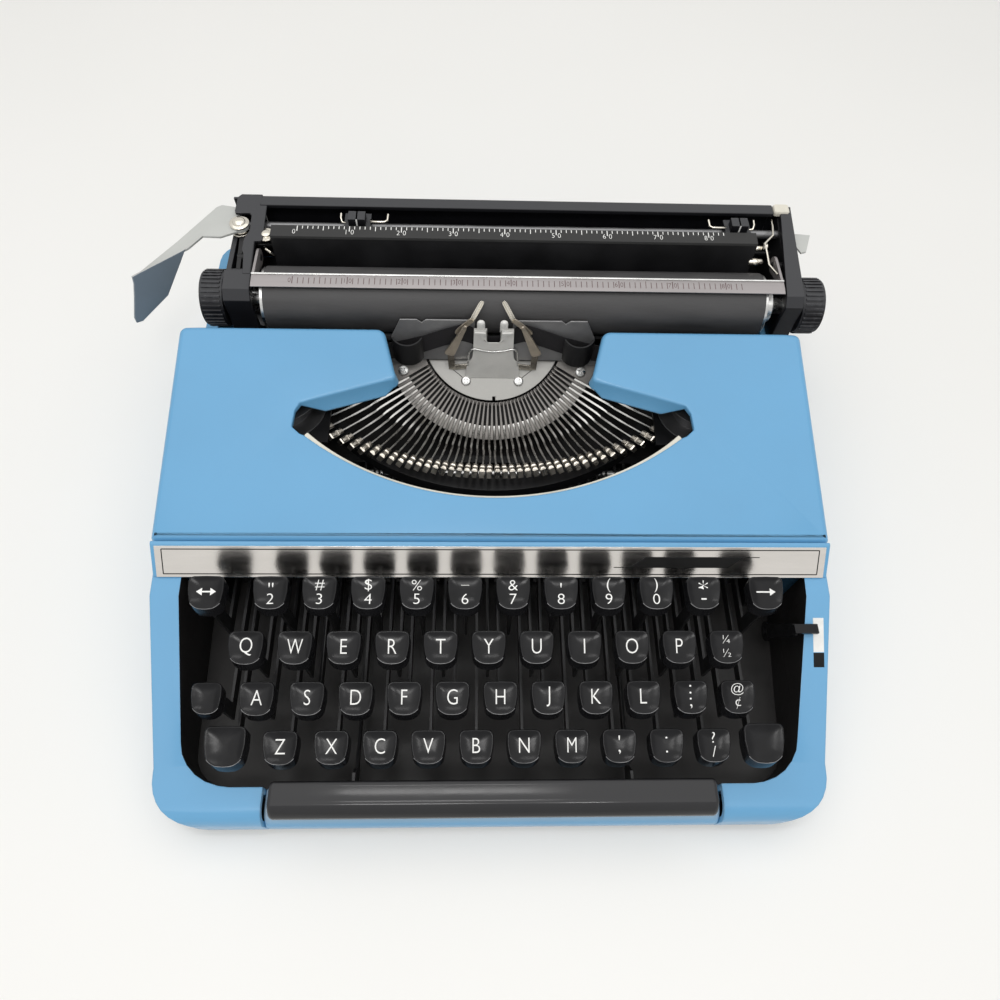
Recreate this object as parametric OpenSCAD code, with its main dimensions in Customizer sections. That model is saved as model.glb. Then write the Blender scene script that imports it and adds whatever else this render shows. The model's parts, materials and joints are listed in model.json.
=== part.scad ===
// Portable typewriter, in millimetres.
// X to the right, Y from the space bar to the carriage, Z up from the table.

/* [Case] */
// Distance from the block of letter keys to the side of the case
side_margin = 39.225; // [37:0.025:42]
// Depth of the case behind the platen's axis
rear_depth = 57; // [56:0.5:62]
// Wall thickness of the case and the cover
wall = 2.4; // [2:0.1:2.8]
// Height of the rubber feet
foot_h = 5; // [4:0.5:6]
// Radius of a rubber foot
foot_r = 9; // [7:0.5:11]
// Thickness of the bottom plate
plate_t = 1.2; // [0.8:0.1:1.4]
// Height of the seam between the case and the cover
seam_z = 53; // [52.5:0.1:53.5]
// Height of the armrests at the front
arm_z = 24; // [22:0.5:27]
// Width of the gap in the front wall for the space bar
notch_w = 188.6; // [186:0.2:196]
// Height of the lip under the space bar
lip_z = 18; // [15:0.5:18.5]
// Clearance between neighbouring pieces
clear = 0.4; // [0.3:0.05:0.5]

/* [Ribbon cover] */
// Slope of the cover's top
cover_slope = 10; // [9:0.5:11]
// Height of the cover's front edge above the seam
cover_rise = 10.6; // [10:0.2:11]
// Depth of the cover's top
cover_d = 97.5; // [95:0.5:98]
// Half width of the basket opening at its widest
basket_half_w = 88; // [84:1:92]
// Half width of the gap between the cover's two lobes
lobe_gap_half = 44; // [42:0.5:48]

/* [Keyboard] */
// Distance between neighbouring keys
key_pitch = 19.05; // [18.6:0.05:19.2]
// Width of a key cap
cap_w = 13.4; // [12:0.2:14]
// Depth of a key cap
cap_d = 13; // [12:0.2:13.6]
// Height of a key cap
cap_h = 6; // [5:0.5:7]
// Tilt of the key caps
cap_tilt = 14.5; // [12:0.5:18]
// Thickness of a key lever
lever_t = 1.2; // [1:0.1:1.4]
// Height of a key lever
lever_h = 6; // [5:0.5:6.5]
// Length of the space bar
space_w = 179.4; // [170:0.5:184]

/* [Type basket] */
// Number of typebars
bar_count = 42; // [38:2:44]
// Half angle of the typebar fan
fan_half = 60; // [56:0.5:61]
// Tilt of the segment
fan_tilt = 37; // [36:0.5:38]
// Length of a typebar from its pivot to the type
bar_len = 50; // [49:0.5:51]
// Radius of the circle of typebar pivots
pivot_r = 42; // [41:0.5:42.5]
// Thickness of a typebar
bar_t = 1; // [0.8:0.05:1.1]
// Width of a type slug
slug_w = 2.6; // [2.2:0.1:2.8]

/* [Carriage] */
// Radius of the platen
platen_r = 15; // [14:0.25:15.25]
// Length of the platen
platen_l = 235; // [225:1:237]
// Height of the platen's axis
platen_z = 74; // [73.5:0.25:75]
// Distance from the cover's rear edge to the platen's axis
platen_gap = 24.5; // [24:0.25:26]
// Offset of the carriage to the right of the case's centre at rest
carriage_x = 10.5; // [5:0.5:15]
// Length of the carriage over its end covers
carriage_l = 271; // [268:1:276]
// Radius of the platen's shaft
shaft_r = 4; // [3:0.25:4.5]
// Radius of a platen knob
knob_r = 13.3; // [12:0.1:13.6]
// Width of a platen knob
knob_w = 10.5; // [9:0.5:12]
// Running clearance of a shaft in its bore
fit = 0.05; // [0.02:0.01:0.1]

/* [Hidden] */
$fn = 48;
eps = 0.5;
origin_x = -5.2;

shell_blue = [0.48, 0.70, 0.84];
dark_plastic = [0.10, 0.10, 0.11];
black_steel = [0.05, 0.05, 0.06];
bright_steel = [0.72, 0.72, 0.70];
cast_grey = [0.50, 0.50, 0.49];
rubber = [0.09, 0.09, 0.09];

key_columns = 11;
half_w = key_columns * key_pitch / 2 + side_margin;
front_half = half_w - 4.5;
corner_r = 20;
rear_r = 12;
taper_y = 100;
floor_z = foot_h + plate_t;
well_half_rear = half_w - 13;
well_half_front = half_w - 19;
well_rear = 96;
well_front = 14.5;
well_r = 17;
bay_margin = 6;
arm_flat = 22;
arm_rise_end = 86;
front_round = 8;

// Front panel and the name strip on it
panel_y = 94;
panel_top_y = 105;
panel_rear = 106.4;
strip_t = 0.6;

// Cover hinge, in the centre of the cover's rounded front edge
hinge_r = 4;
hinge_y = panel_rear + clear + hinge_r + 0.2;
hinge_z = seam_z + cover_rise - hinge_r;
hinge_pin_r = 1.2;
ear_in = half_w - 10;
ear_w = 4;
lug_in = ear_in - 4;
lug_w = 3.6;
cover_rear = hinge_y + cover_d - hinge_r;
platen_y = cover_rear + platen_gap;
body_d = platen_y + rear_depth;
origin_y = body_d / 2;
cover_gap_z = seam_z + clear;

// Chassis
side_x = half_w - 20;
side_t = 2;
chassis_top = 42;
fulcrum_y = platen_y - 61;
fulcrum_z = 13;
fulcrum_r = 2;
spool_x = 100;
spool_y = cover_rear - 20.5;
spool_r = 20;
pack_r = 13;
spool_z = 50;
spool_h = 15;
spool_post_r = 2;
shelf_t = 2;

// Keys
lever_low = 10;
lever_high = 24;
lever_step_y = 128;
home_y = 44.3;
home_z = 50;
cap_gap = 0.1;
comb_y = 110;
comb_t = 1.5;

// Type basket, seen along the segment's axis
print_y = platen_y - platen_r - 1;
print_z = 75;
fan_h = sqrt(bar_len * bar_len - pivot_r * pivot_r);
fan_y = print_y + fan_h * sin(fan_tilt);
fan_z = print_z - fan_h * cos(fan_tilt);
bar_pitch = 2 * fan_half / (bar_count - 1);
live_bar = bar_count / 2;
rest_mid = 57;
rest_side = 23;
seg_in = pivot_r - 5;
seg_out = pivot_r + 14;
seg_top = 3;
seg_low = -5;
ear_half = 76;
slot_w = bar_t + 0.3;
bar_foot_r = 2.4;

// Carriage
bed_z = 57.5;
bed_t = 1.5;
left_end = carriage_x - carriage_l / 2;
right_end = carriage_x + carriage_l / 2;
end_front = platen_y - 11;
end_rear = platen_y + 46;
end_top = 95.5;
left_plate_x = left_end + 4;
right_plate_x = right_end - 6;
end_plate_t = 2;
platen_left = carriage_x - platen_l / 2;
core_r = 7;
roller_r = 3;
roller_pin_r = 1.2;
roller_off = platen_r + roller_r + 0.3;
roller_angle = 22;
roller_dy = roller_off * sin(roller_angle);
roller_dz = roller_off * cos(roller_angle);
frame_low = platen_z - roller_dz - roller_pin_r - 1.2;
bail_y = platen_y + 14;
bail_z = platen_z + 12.5;
bail_pin_r = 1.5;
rail_y = platen_y + 16;
rail_w = 5;
rail_top = bed_z - clear;
shoe_l = 46;
margin_y = platen_y + 33;
margin_z = 88;
margin_r = 2;
stop_w = 12.5;
left_stop_x = carriage_x - 75.7;
right_stop_x = carriage_x + 107.9;
rack_y = platen_y + 33;
rack_w = 4;
rack_pitch = 2.54;
rack_teeth = 92;
tooth_h = 1.4;
pinion_teeth = 20;
pinion_r = pinion_teeth * rack_pitch / (2 * PI);
rack_low = 54.4;
pinion_z = rack_low + tooth_h / 2 - pinion_r;
lever_pivot_x = left_end + 4.2;
lever_pivot_y = platen_y + 29;
lever_z = 91;
drum_x = -98;
drum_y = platen_y - 5;
drum_r = 17;
drum_z = 12;
drum_h = 12;
post_r = 3;

// Helpers

// Puts the origin under the middle of the machine
module framed() {
  translate([-origin_x, -origin_y, 0]) children();
}

// Extrudes an outline in Y and Z along X, from x0 to x1
module along_x(x0, x1) {
  translate([x0, 0, 0]) rotate([90, 0, 90]) linear_extrude(x1 - x0) children();
}

// A round bar along X
module rod_x(x0, x1, y, z, r) {
  translate([x0, y, z]) rotate([0, 90, 0]) cylinder(h = x1 - x0, r = r);
}

// A round bar along Y
module rod_y(y0, y1, x, z, r) {
  translate([x, y0, z]) rotate([-90, 0, 0]) cylinder(h = y1 - y0, r = r);
}

// A box between two corners
module block(low, high) {
  translate(low) cube(high - low);
}

// Both sides of the machine
module both_sides() {
  children();
  mirror([1, 0, 0]) children();
}

function arc(centre, r, a0, a1, n) =
  [for (i = [0:n]) centre + r * [cos(a0 + (a1 - a0) * i / n), sin(a0 + (a1 - a0) * i / n)]];

function flip(points) = [for (i = [len(points) - 1:-1:0]) [-points[i][0], points[i][1]]];

// Plan of the case, drawn in by an inset
function case_half(inset) = concat(
  arc([half_w - rear_r, body_d - rear_r], rear_r - inset, 90, 0, 5),
  [[half_w - inset, taper_y]],
  arc([front_half - corner_r, corner_r], corner_r - inset, 0, -90, 8)
);
function case_plan(inset) = concat(case_half(inset), flip(case_half(inset)));

// Plan of the key well, widened by an outset
function well_half(outset) = concat(
  [[well_half_rear + outset, well_rear + eps], [well_half_front + outset, well_front + well_r]],
  arc([well_half_front - well_r, well_front + well_r], well_r + outset, 0, -90, 6)
);
function well_plan(outset) = concat(well_half(outset), flip(well_half(outset)));

// Side view of the case, lowered by a drop
function case_profile(drop) = concat(
  [[body_d + eps, 0], [body_d + eps, seam_z - drop], [arm_rise_end, seam_z - drop], [arm_flat, arm_z - drop]],
  arc([front_round, arm_z - front_round], front_round - drop, 90, 180, 6),
  [[drop, 0]]
);

// Height of the cover's outer surface
function cover_z(y) = hinge_z + hinge_r / cos(cover_slope) + (y - hinge_y) * tan(cover_slope);

// Case

module hinge_ear() {
  difference() {
    union() {
      block([ear_in, hinge_y - 1, seam_z - wall], [ear_in + ear_w, hinge_y + 5, hinge_z]);
      block([ear_in, hinge_y - 1, seam_z - wall], [ear_in + ear_w + 2, hinge_y + 5, seam_z]);
      rod_x(ear_in, ear_in + ear_w, hinge_y, hinge_z, hinge_r - 1.8);
    }
    rod_x(ear_in - eps, ear_in + ear_w + eps, hinge_y, hinge_z, hinge_pin_r);
  }
}

module selector_stud() {
  rod_x(selector_x - 0.8, well_half_rear, selector_y, selector_z, selector_pin_r);
}

module lower_case() {
  color(shell_blue) framed() {
    difference() {
      intersection() {
        translate([0, 0, foot_h]) linear_extrude(seam_z) polygon(case_plan(0));
        along_x(-half_w - 1, half_w + 1) polygon(case_profile(0));
      }
      intersection() {
        translate([0, 0, foot_h - 1]) linear_extrude(seam_z) difference() {
          polygon(case_plan(wall));
          polygon(well_plan(wall));
        }
        along_x(-half_w, half_w) polygon(case_profile(wall));
      }
      translate([0, 0, foot_h - 1]) linear_extrude(plate_t + clear + 1) polygon(case_plan(wall));
      translate([0, 0, foot_h - 1]) linear_extrude(seam_z + 2) polygon(well_plan(0));
      block([-half_w + bay_margin, well_rear, foot_h - 1],
            [half_w - bay_margin, body_d - bay_margin, seam_z + 2]);
      block([-notch_w / 2, -1, foot_h - 1], [notch_w / 2, well_front + 1, seam_z]);
    }
    both_sides() hinge_ear();
    selector_stud();
  }
}

module lip_outline(drop) {
  polygon(concat(
    [[well_front, foot_h - eps * drop], [well_front, lip_z - drop]],
    arc([front_round, lip_z - front_round], front_round - drop, 90, 180, 6),
    [[drop, foot_h - eps * drop]]
  ));
}

module front_lip() {
  color(shell_blue) framed() along_x(-notch_w / 2, notch_w / 2) difference() {
    lip_outline(0);
    lip_outline(wall);
    translate([wall, 0]) square([body_d, floor_z + clear]);
  }
}

// The slanted panel behind the keys, standing on the case's rim
module front_panel() {
  top = hinge_z + hinge_r;
  color(shell_blue) framed() {
    along_x(-half_w + 0.6, half_w - 0.6) polygon([
      [panel_y, seam_z], [panel_top_y, top - 0.6], [panel_rear, top - 0.2], [panel_rear, top - wall - 0.8],
      [panel_top_y + 0.4, top - wall - 1], [panel_y + 2.8, seam_z]
    ]);
    both_sides() along_x(half_w - bay_margin, half_w - 0.6) polygon([
      [panel_y, seam_z], [panel_top_y, top - 0.6], [panel_rear, top - 0.6], [panel_rear, seam_z]
    ]);
  }
}

module nameplate() {
  top = hinge_z + hinge_r;
  run = panel_top_y - panel_y;
  rise = top - 0.6 - seam_z;
  length = sqrt(run * run + rise * rise);
  color(bright_steel) framed() translate([0, panel_y, seam_z]) rotate([atan2(rise, run), 0, 0])
    block([-half_w + 2.5, 0.6, 0], [half_w - 2.5, length - 0.6, strip_t]);
}

foot_x = half_w - 26;
foot_front = 28;
foot_rear = body_d - 26;
foot_pin_r = 3;

module feet_places() {
  for (x = [-foot_x, foot_x], y = [foot_front, foot_rear]) translate([x, y, 0]) children();
}

module bottom_plate() {
  color(black_steel) framed() difference() {
    translate([0, 0, foot_h]) linear_extrude(plate_t) polygon(case_plan(wall + clear));
    feet_places() translate([0, 0, foot_h - eps]) cylinder(h = plate_t + 1, r = foot_pin_r + fit);
  }
}

module rubber_feet() {
  color(rubber) framed() feet_places() {
    cylinder(h = foot_h, r = foot_r);
    cylinder(h = floor_z + 1.5, r = foot_pin_r);
  }
}

// Frame

// The tilted frame of the type basket: its X to the right, its Z along the segment's axis
module in_fan() {
  translate([0, fan_y, fan_z]) rotate([fan_tilt, 0, 0]) children();
}

module chassis() {
  color(black_steel) framed() {
    difference() {
      both_sides() {
        block([side_x - side_t, well_rear + 2, floor_z], [side_x, body_d - 16, chassis_top]);
        block([spool_x - spool_r - 2, spool_y - spool_r, spool_z - shelf_t - 1],
              [side_x, spool_y + spool_r, spool_z - 1]);
        block([side_x - side_t, spool_y - spool_r, chassis_top - eps],
              [side_x, spool_y + spool_r, spool_z - 1]);
      }
      rod_x(-side_x - 1, side_x + 1, fulcrum_y, fulcrum_z, fulcrum_r + fit);
    }
    both_sides() translate([spool_x, spool_y, spool_z - shelf_t]) cylinder(h = spool_h + 3, r = spool_post_r);
    difference() {
      union() {
        block([-side_x, body_d - 18, floor_z], [side_x, body_d - 16, chassis_top]);
        block([-8, body_d - 18, chassis_top - eps], [8, body_d - 16, pinion_z + 5]);
      }
      rod_y(body_d - 20, body_d - 14, 0, pinion_z, escape_pin_r + fit);
    }
    in_fan() block([-side_x + side_t, -22, seg_low - 8], [side_x - side_t, -12, seg_low]);
    translate([drum_x, drum_y, floor_z]) cylinder(h = drum_z + drum_h + 2 - floor_z, r = post_r);
    translate([drum_x, drum_y, floor_z]) cylinder(h = drum_z - clear - floor_z, r = post_r + 4);
  }
}

module carriage_rail() {
  color(bright_steel) framed() {
    block([-side_x, rail_y - 7, chassis_top], [side_x, rail_y + rail_w + 7, chassis_top + 2]);
    block([-side_x, rail_y, chassis_top + 1], [side_x, rail_y + rail_w, rail_top]);
  }
}

module key_fulcrum_rod() {
  color(bright_steel) framed() rod_x(-side_x - 1, side_x + 1, fulcrum_y, fulcrum_z, fulcrum_r);
}

// Type basket

// Draws an outline of radius and height in the plane of the typebar at an angle of the fan
module in_bar_plane(angle, thick) {
  in_fan() rotate([0, 0, angle]) rotate([90, 0, -90]) linear_extrude(thick, center = true) children();
}

function bar_angle(i) = (i - (bar_count - 1) / 2) * bar_pitch;
function rest_angle(i) = rest_mid + (rest_side - rest_mid) * pow(bar_angle(i) / fan_half, 2);

module typebar(i) {
  in_bar_plane(bar_angle(i), bar_t) translate([pivot_r, 0]) {
    circle(r = bar_foot_r);
    rotate(rest_angle(i)) polygon([
      [-3.5, -1.6], [-3.5, 1.6], [3, 2.6], [bar_len - 4, 1.4], [bar_len - 4, -1.2], [5, -2.4]
    ]);
  }
  in_bar_plane(bar_angle(i), slug_w) translate([pivot_r, 0]) rotate(rest_angle(i)) polygon([
    [bar_len - 5, -1.2], [bar_len - 5, 2.6], [bar_len - 4, 3.4], [bar_len + 3, 3.4], [bar_len + 3, -0.4]
  ]);
}

module segment() {
  color(cast_grey) framed() difference() {
    in_fan() rotate([0, 0, -90 - ear_half]) rotate_extrude(angle = 2 * ear_half, $fn = 96)
      translate([seg_in, seg_low]) square([seg_out - seg_in, seg_top - seg_low]);
    for (i = [0:bar_count - 1]) in_bar_plane(bar_angle(i), slot_w)
      translate([seg_in - 1, seg_low + 0.8]) square([seg_out, seg_top - seg_low]);
    segment_screw_places() translate([0, 0, -6]) cylinder(h = 20, r = screw_r + fit);
  }
}

screw_r = 1.5;
guide_gap = 3.2;
screw_head_r = 2.6;
plate_r = seg_in - 1.2;
plate_top = 2;
ear_screw_angle = 65;
ear_screw_r = seg_in + 12.7;
plate_rear = -15.5;
plate_screw_x = 13.4;
plate_screw_y = -26;

module segment_screw_places() {
  in_fan() for (side = [-1, 1]) rotate([0, 0, side * ear_screw_angle])
    translate([0, -ear_screw_r, seg_top]) children();
}

module plate_screw_places() {
  in_fan() for (side = [-1, 1]) translate([side * plate_screw_x, plate_screw_y, plate_top]) children();
}

// Half-round plate inside the segment, with the forked type guide standing on it
module segment_plate() {
  guide_v = -23.7;
  guide_y = fan_y + guide_v * cos(fan_tilt) - plate_top * sin(fan_tilt);
  guide_foot = fan_z + guide_v * sin(fan_tilt) + plate_top * cos(fan_tilt) - 1;
  color(bright_steel) framed() {
    difference() {
      in_fan() intersection() {
        translate([0, 0, seg_low]) cylinder(h = plate_top - seg_low, r = plate_r, $fn = 96);
        block([-plate_r, -plate_r, seg_low], [plate_r, plate_rear, plate_top]);
      }
      in_bar_plane(bar_angle(live_bar), slot_w + 0.3)
        translate([plate_r - 2, seg_low - 1]) square([4, plate_top - seg_low + 2]);
      plate_screw_places() translate([0, 0, -12]) cylinder(h = 20, r = screw_r + fit);
    }
    difference() {
      translate([0, guide_y + 0.6, 0]) rotate([90, 0, 0]) linear_extrude(1.2) polygon([
        [-10.2, guide_foot], [-9.4, print_z + 2], [9.4, print_z + 2], [10.2, guide_foot]
      ]);
      block([-guide_gap, guide_y - 2, print_z - 8.5], [guide_gap, guide_y + 2, print_z + 3]);
    }
  }
}

module machine_screws() {
  color(bright_steel) framed() {
    segment_screw_places() {
      translate([0, 0, -5]) cylinder(h = 5, r = screw_r);
      cylinder(h = 1.4, r = screw_head_r);
    }
    plate_screw_places() {
      translate([0, 0, -5]) cylinder(h = 5, r = screw_r);
      cylinder(h = 1.4, r = screw_head_r);
    }
  }
}

module typebars() {
  color(bright_steel) framed() for (i = [0:bar_count - 1]) if (i != live_bar) typebar(i);
}

module typebar_h() {
  color(bright_steel) framed() typebar(live_bar);
}

// Place of the middle type at rest
rest_s = pivot_r + bar_len * cos(rest_mid);
rest_w = bar_len * sin(rest_mid);
type_y = fan_y - rest_s * cos(fan_tilt) - rest_w * sin(fan_tilt);
type_z = fan_z - rest_s * sin(fan_tilt) + rest_w * cos(fan_tilt);

// Curved bar under the resting types, hung between the side frames
module type_rest() {
  rest_r = 108;
  rest_front = type_y - 4.8;
  rest_top = type_z - 6.15;
  color(black_steel) framed() {
    intersection() {
      translate([0, rest_front + rest_r, rest_top - 8]) difference() {
        cylinder(h = 8, r = rest_r, $fn = 128);
        translate([0, 0, -eps]) cylinder(h = 9, r = rest_r - 7, $fn = 128);
      }
      block([-76, rest_front - 1, rest_top - 19], [76, rest_front + 45, rest_top + 6]);
    }
    both_sides() block([74, rest_front + 30, rest_top - 8], [side_x - side_t, rest_front + 38, rest_top - 2]);
  }
}

module card_guide() {
  plate_y = platen_y - platen_r - 1.4;
  card_top = print_z + 4;
  arm_top = fan_z - 1.4;
  color(bright_steel) framed() difference() {
    union() {
      both_sides() translate([0, plate_y + 0.6, 0]) rotate([90, 0, 0]) linear_extrude(0.6) polygon([
        [9, arm_top - 2], [9, card_top], [44, card_top], [49, card_top - 12], [49, arm_top - 2]
      ]);
      both_sides() block([40, plate_y, arm_top - 5.5], [side_x - side_t, plate_y + 0.6, arm_top]);
      both_sides() block([side_x - 24, plate_y, arm_top - 18], [side_x - side_t, plate_y + 0.6, arm_top]);
    }
    for (x = [-34, 34]) translate([x, plate_y - 1, card_top]) rotate([0, 45, 0])
      cube([3, 4, 3], center = true);
  }
}

// Ribbon

ribbon_z = 51;
ribbon_h = 12;
ribbon_y = platen_y - platen_r - 2.4;

module ribbon_run(a, b) {
  d = b - a;
  translate([a[0], a[1], ribbon_z]) rotate([0, 0, atan2(d[1], d[0])]) cube([norm(d), 0.3, ribbon_h]);
}

module ribbon() {
  color(rubber) framed() {
    block([-20, ribbon_y, ribbon_z], [20, ribbon_y + 0.3, ribbon_z + ribbon_h]);
    both_sides() {
      ribbon_run([20 - 0.05, ribbon_y], [60, ribbon_y - 2]);
      ribbon_run([60 - 0.05, ribbon_y - 2], [spool_x, spool_y + pack_r + clear]);
    }
  }
}

module ribbon_vibrator() {
  front = ribbon_y - clear - 0.8;
  color(bright_steel) framed() translate([0, front + 0.8, 0]) rotate([90, 0, 0]) linear_extrude(0.8) {
    both_sides() polygon([
      [8, 46], [12, 46], [14.5, 68], [12.5, 71], [6.5, 84], [4.5, 84], [4.5, 82], [10.5, 69]
    ]);
    translate([-12, 44]) square([24, 4]);
  }
}

module spool(x) {
  translate([x, spool_y, spool_z - 0.7]) difference() {
    union() {
      cylinder(h = spool_h, r = pack_r);
      cylinder(h = 0.8, r = spool_r);
      translate([0, 0, spool_h - 0.8]) cylinder(h = 0.8, r = spool_r);
    }
    translate([0, 0, -eps]) cylinder(h = spool_h + 1, r = spool_post_r + fit);
    for (a = [0:120:240]) rotate(a) translate([pack_r - 6, 0, -eps]) cylinder(h = spool_h + 1, r = 2.5);
  }
}

module left_spool() {
  color(bright_steel) framed() spool(-spool_x);
}

module right_spool() {
  color(bright_steel) framed() spool(spool_x);
}

// Ribbon cover

module cover_section(drop) {
  r = hinge_r - drop;
  polygon(concat(
    arc([hinge_y, hinge_z], r, 180, 90 + cover_slope, 6),
    [[cover_rear - drop, cover_z(cover_rear) - drop / cos(cover_slope)],
     [cover_rear - drop, cover_z(cover_rear) - 7 - drop], [hinge_y, hinge_z - drop * 4],
     [hinge_y - r, hinge_z]]
  ));
}

// Outline of the opening over the types
arc_front = 126;
arc_end_x = basket_half_w - 4.5;
arc_end_y = 153.8;
arc_rise = arc_end_y - arc_front;
basket_r = (arc_end_x * arc_end_x + arc_rise * arc_rise) / (2 * arc_rise);
basket_a = asin(arc_end_x / basket_r);
function basket_half() = concat(
  [[lobe_gap_half + 8, cover_rear + 5], [lobe_gap_half + 5.5, cover_rear - 0.5], [lobe_gap_half, 183],
   [lobe_gap_half + 0.6, 177.5], [basket_half_w - 7.5, 168.5], [basket_half_w, 164], [basket_half_w, 157.5]],
  arc([0, arc_front + basket_r], basket_r, -90 + basket_a, -90, 14)
);

module ribbon_cover() {
  color(shell_blue) framed() difference() {
    union() {
      difference() {
        along_x(-half_w, half_w) cover_section(0);
        along_x(-half_w + wall, half_w - wall) cover_section(wall);
        along_x(-half_w + wall, half_w - wall)
          polygon([[hinge_y - 2, hinge_z - 9], [cover_rear - wall, hinge_z - 9],
                   [cover_rear - wall, cover_z(cover_rear) - 9], [hinge_y, hinge_z - 1]]);
      }
      both_sides() along_x(half_w - wall, half_w) polygon([
        [hinge_y - 1, hinge_z - 3.6], [hinge_y + 3, cover_gap_z], [cover_rear, cover_gap_z],
        [cover_rear, cover_z(cover_rear) - 5], [hinge_y, hinge_z + 1]
      ]);
      both_sides() rod_x(lug_in, lug_in + lug_w, hinge_y, hinge_z, hinge_r - 0.6);
    }
    linear_extrude(200) polygon(concat(basket_half(), flip(basket_half())));
    both_sides() rod_x(lug_in - eps, lug_in + lug_w + eps, hinge_y, hinge_z, hinge_pin_r + fit);
    both_sides() rod_x(ear_in - clear, ear_in + ear_w + clear, hinge_y, hinge_z, hinge_r - 1.8 + clear);
  }
}

module cover_hinge_pins() {
  color(bright_steel) framed() both_sides()
    rod_x(lug_in - eps, ear_in + ear_w + eps, hinge_y, hinge_z, hinge_pin_r - fit / 2);
}

// Keys

// Rows: 0 upper letters, 1 home, 2 lower letters, 3 numbers
row_back = [0.934, 0, -0.903, 1.937];
row_up = [0.509, 0, -0.488, 1.055];
function row_y(row) = home_y + row_back[row] * key_pitch;
function row_z(row) = home_z + row_up[row] * key_pitch;
row_shift = [-2.75, 2, 11.55, 6.8];
function key_x(row, i) = row_shift[row] + (i - 5) * key_pitch;

module cap(x, y, z, w, d) {
  translate([x, y, z]) rotate([cap_tilt, 0, 0]) {
    translate([-w / 2 + 1.5, -d / 2, -cap_h]) cube([w - 3, d, cap_h]);
    translate([-w / 2, -d / 2 + 1.5, -cap_h]) cube([w, d - 3, cap_h]);
    for (i = [-1, 1], j = [-1, 1])
      translate([i * (w / 2 - 1.5), j * (d / 2 - 1.5), -cap_h]) cylinder(h = cap_h, r = 1.5, $fn = 24);
  }
}

// Flat lever from the fulcrum to a stem under its cap
module lever(x, y, z, tail) {
  stem_top = z - cap_h / cos(cap_tilt) - cap_gap;
  rise = 3 * tan(cap_tilt);
  difference() {
    along_x(x - lever_t / 2, x + lever_t / 2) polygon([
      [y - 3, lever_high], [y - 3, stem_top - rise], [y + 3, stem_top + rise], [y + 3, lever_high + lever_h],
      [lever_step_y - 12, lever_high + lever_h], [lever_step_y + 14, lever_low + lever_h],
      [tail, lever_low + lever_h], [tail, lever_low], [lever_step_y + 10, lever_low],
      [lever_step_y - 16, lever_high]
    ]);
    rod_x(x - lever_t, x + lever_t, fulcrum_y, fulcrum_z, fulcrum_r + fit);
  }
}

short_tail = fulcrum_y + 4.5;
long_tail = fulcrum_y + 10;

module key(x, y, z, w, d, lever_x, tail) {
  cap(x, y, z, w, d);
  lever(lever_x, y, z, tail);
}

module character_key(row, i) {
  x = key_x(row, i);
  key(x, row_y(row), row_z(row), cap_w, cap_d, x, short_tail);
}

// All the keys that one finger strikes
module finger_keys(columns) {
  color(dark_plastic) framed() for (i = columns, row = [0:3])
    if (!(row == 1 && i == 5)) character_key(row, i);
}

module key_h() {
  color(dark_plastic) framed() character_key(1, 5);
}

module keys_left_little() {
  finger_keys([0]);
}

module keys_left_ring() {
  finger_keys([1]);
}

module keys_left_middle() {
  finger_keys([2]);
}

module keys_left_index() {
  finger_keys([3, 4]);
}

module keys_right_index() {
  finger_keys([5, 6]);
}

module keys_right_middle() {
  finger_keys([7]);
}

module keys_right_ring() {
  finger_keys([8]);
}

module keys_right_little() {
  finger_keys([9]);
  color(dark_plastic) framed() for (row = [0, 1]) character_key(row, 10);
}

block_half = key_columns * key_pitch / 2;
shift_x = [-block_half - 1.025, block_half + 2.825];
shift_w = 15.7;
shift_z = row_z(2) + 4;
lock_x = -block_half - 8.425;
lock_w = 11.9;
function_x = [-block_half - 9.425, block_half + 4.225];
function_w = 14;

module shift_keys() {
  color(dark_plastic) framed() {
    for (x = shift_x) key(x, row_y(2), shift_z, shift_w, shift_w - 0.5, x, long_tail);
    block([shift_x[0] + lever_t / 2 + cap_gap, long_tail - 4, lever_low],
          [shift_x[1] - lever_t / 2 - cap_gap, long_tail, lever_low + 4]);
  }
}

module shift_lock_key() {
  color(dark_plastic) framed() key(lock_x, row_y(1), row_z(1) + 1, lock_w, lock_w, lock_x + 3, short_tail);
}

module margin_release_key() {
  x = function_x[0];
  color(dark_plastic) framed() key(x, row_y(3), row_z(3), function_w, cap_d, x - 2.2, short_tail);
}

module backspace_key() {
  x = function_x[1];
  color(dark_plastic) framed() key(x, row_y(3), row_z(3), function_w, cap_d, x + 3.6, short_tail);
}

function space_arm(side) = key_x(0, 5 + side * 3) + key_pitch / 8;
space_y = 8.5;
space_low = 26.4;

module space_bar() {
  color(dark_plastic) framed() {
    along_x(-space_w / 2, space_w / 2) polygon([
      [1.5, space_low + cap_gap], [2.2, 29.5], [6.5, 34], [15.5, 34], [15.5, 29], [12, space_low + cap_gap]
    ]);
    for (side = [-1, 1]) {
      x = space_arm(side);
      difference() {
        along_x(x - lever_t / 2, x + lever_t / 2) polygon([
          [space_y - 3, space_low - 1.8], [space_y - 3, space_low], [well_front + 5, space_low],
          [well_front + 8, 19], [lever_step_y, 19], [lever_step_y + 14, lever_low + lever_h],
          [short_tail, lever_low + lever_h], [short_tail, lever_low], [lever_step_y + 10, lever_low],
          [lever_step_y - 4, 14], [well_front + 3, 14], [well_front + 1.2, space_low - 1.8]
        ]);
        rod_x(x - lever_t, x + lever_t, fulcrum_y, fulcrum_z, fulcrum_r + fit);
      }
    }
  }
}

function comb_xs() = concat(
  [for (row = [0:3], i = [0:9]) key_x(row, i)], [for (row = [0, 1]) key_x(row, 10)], shift_x,
  [lock_x + 3, function_x[0] - 2.2, function_x[1] + 3.6], [for (side = [-1, 1]) space_arm(side)]
);

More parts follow.
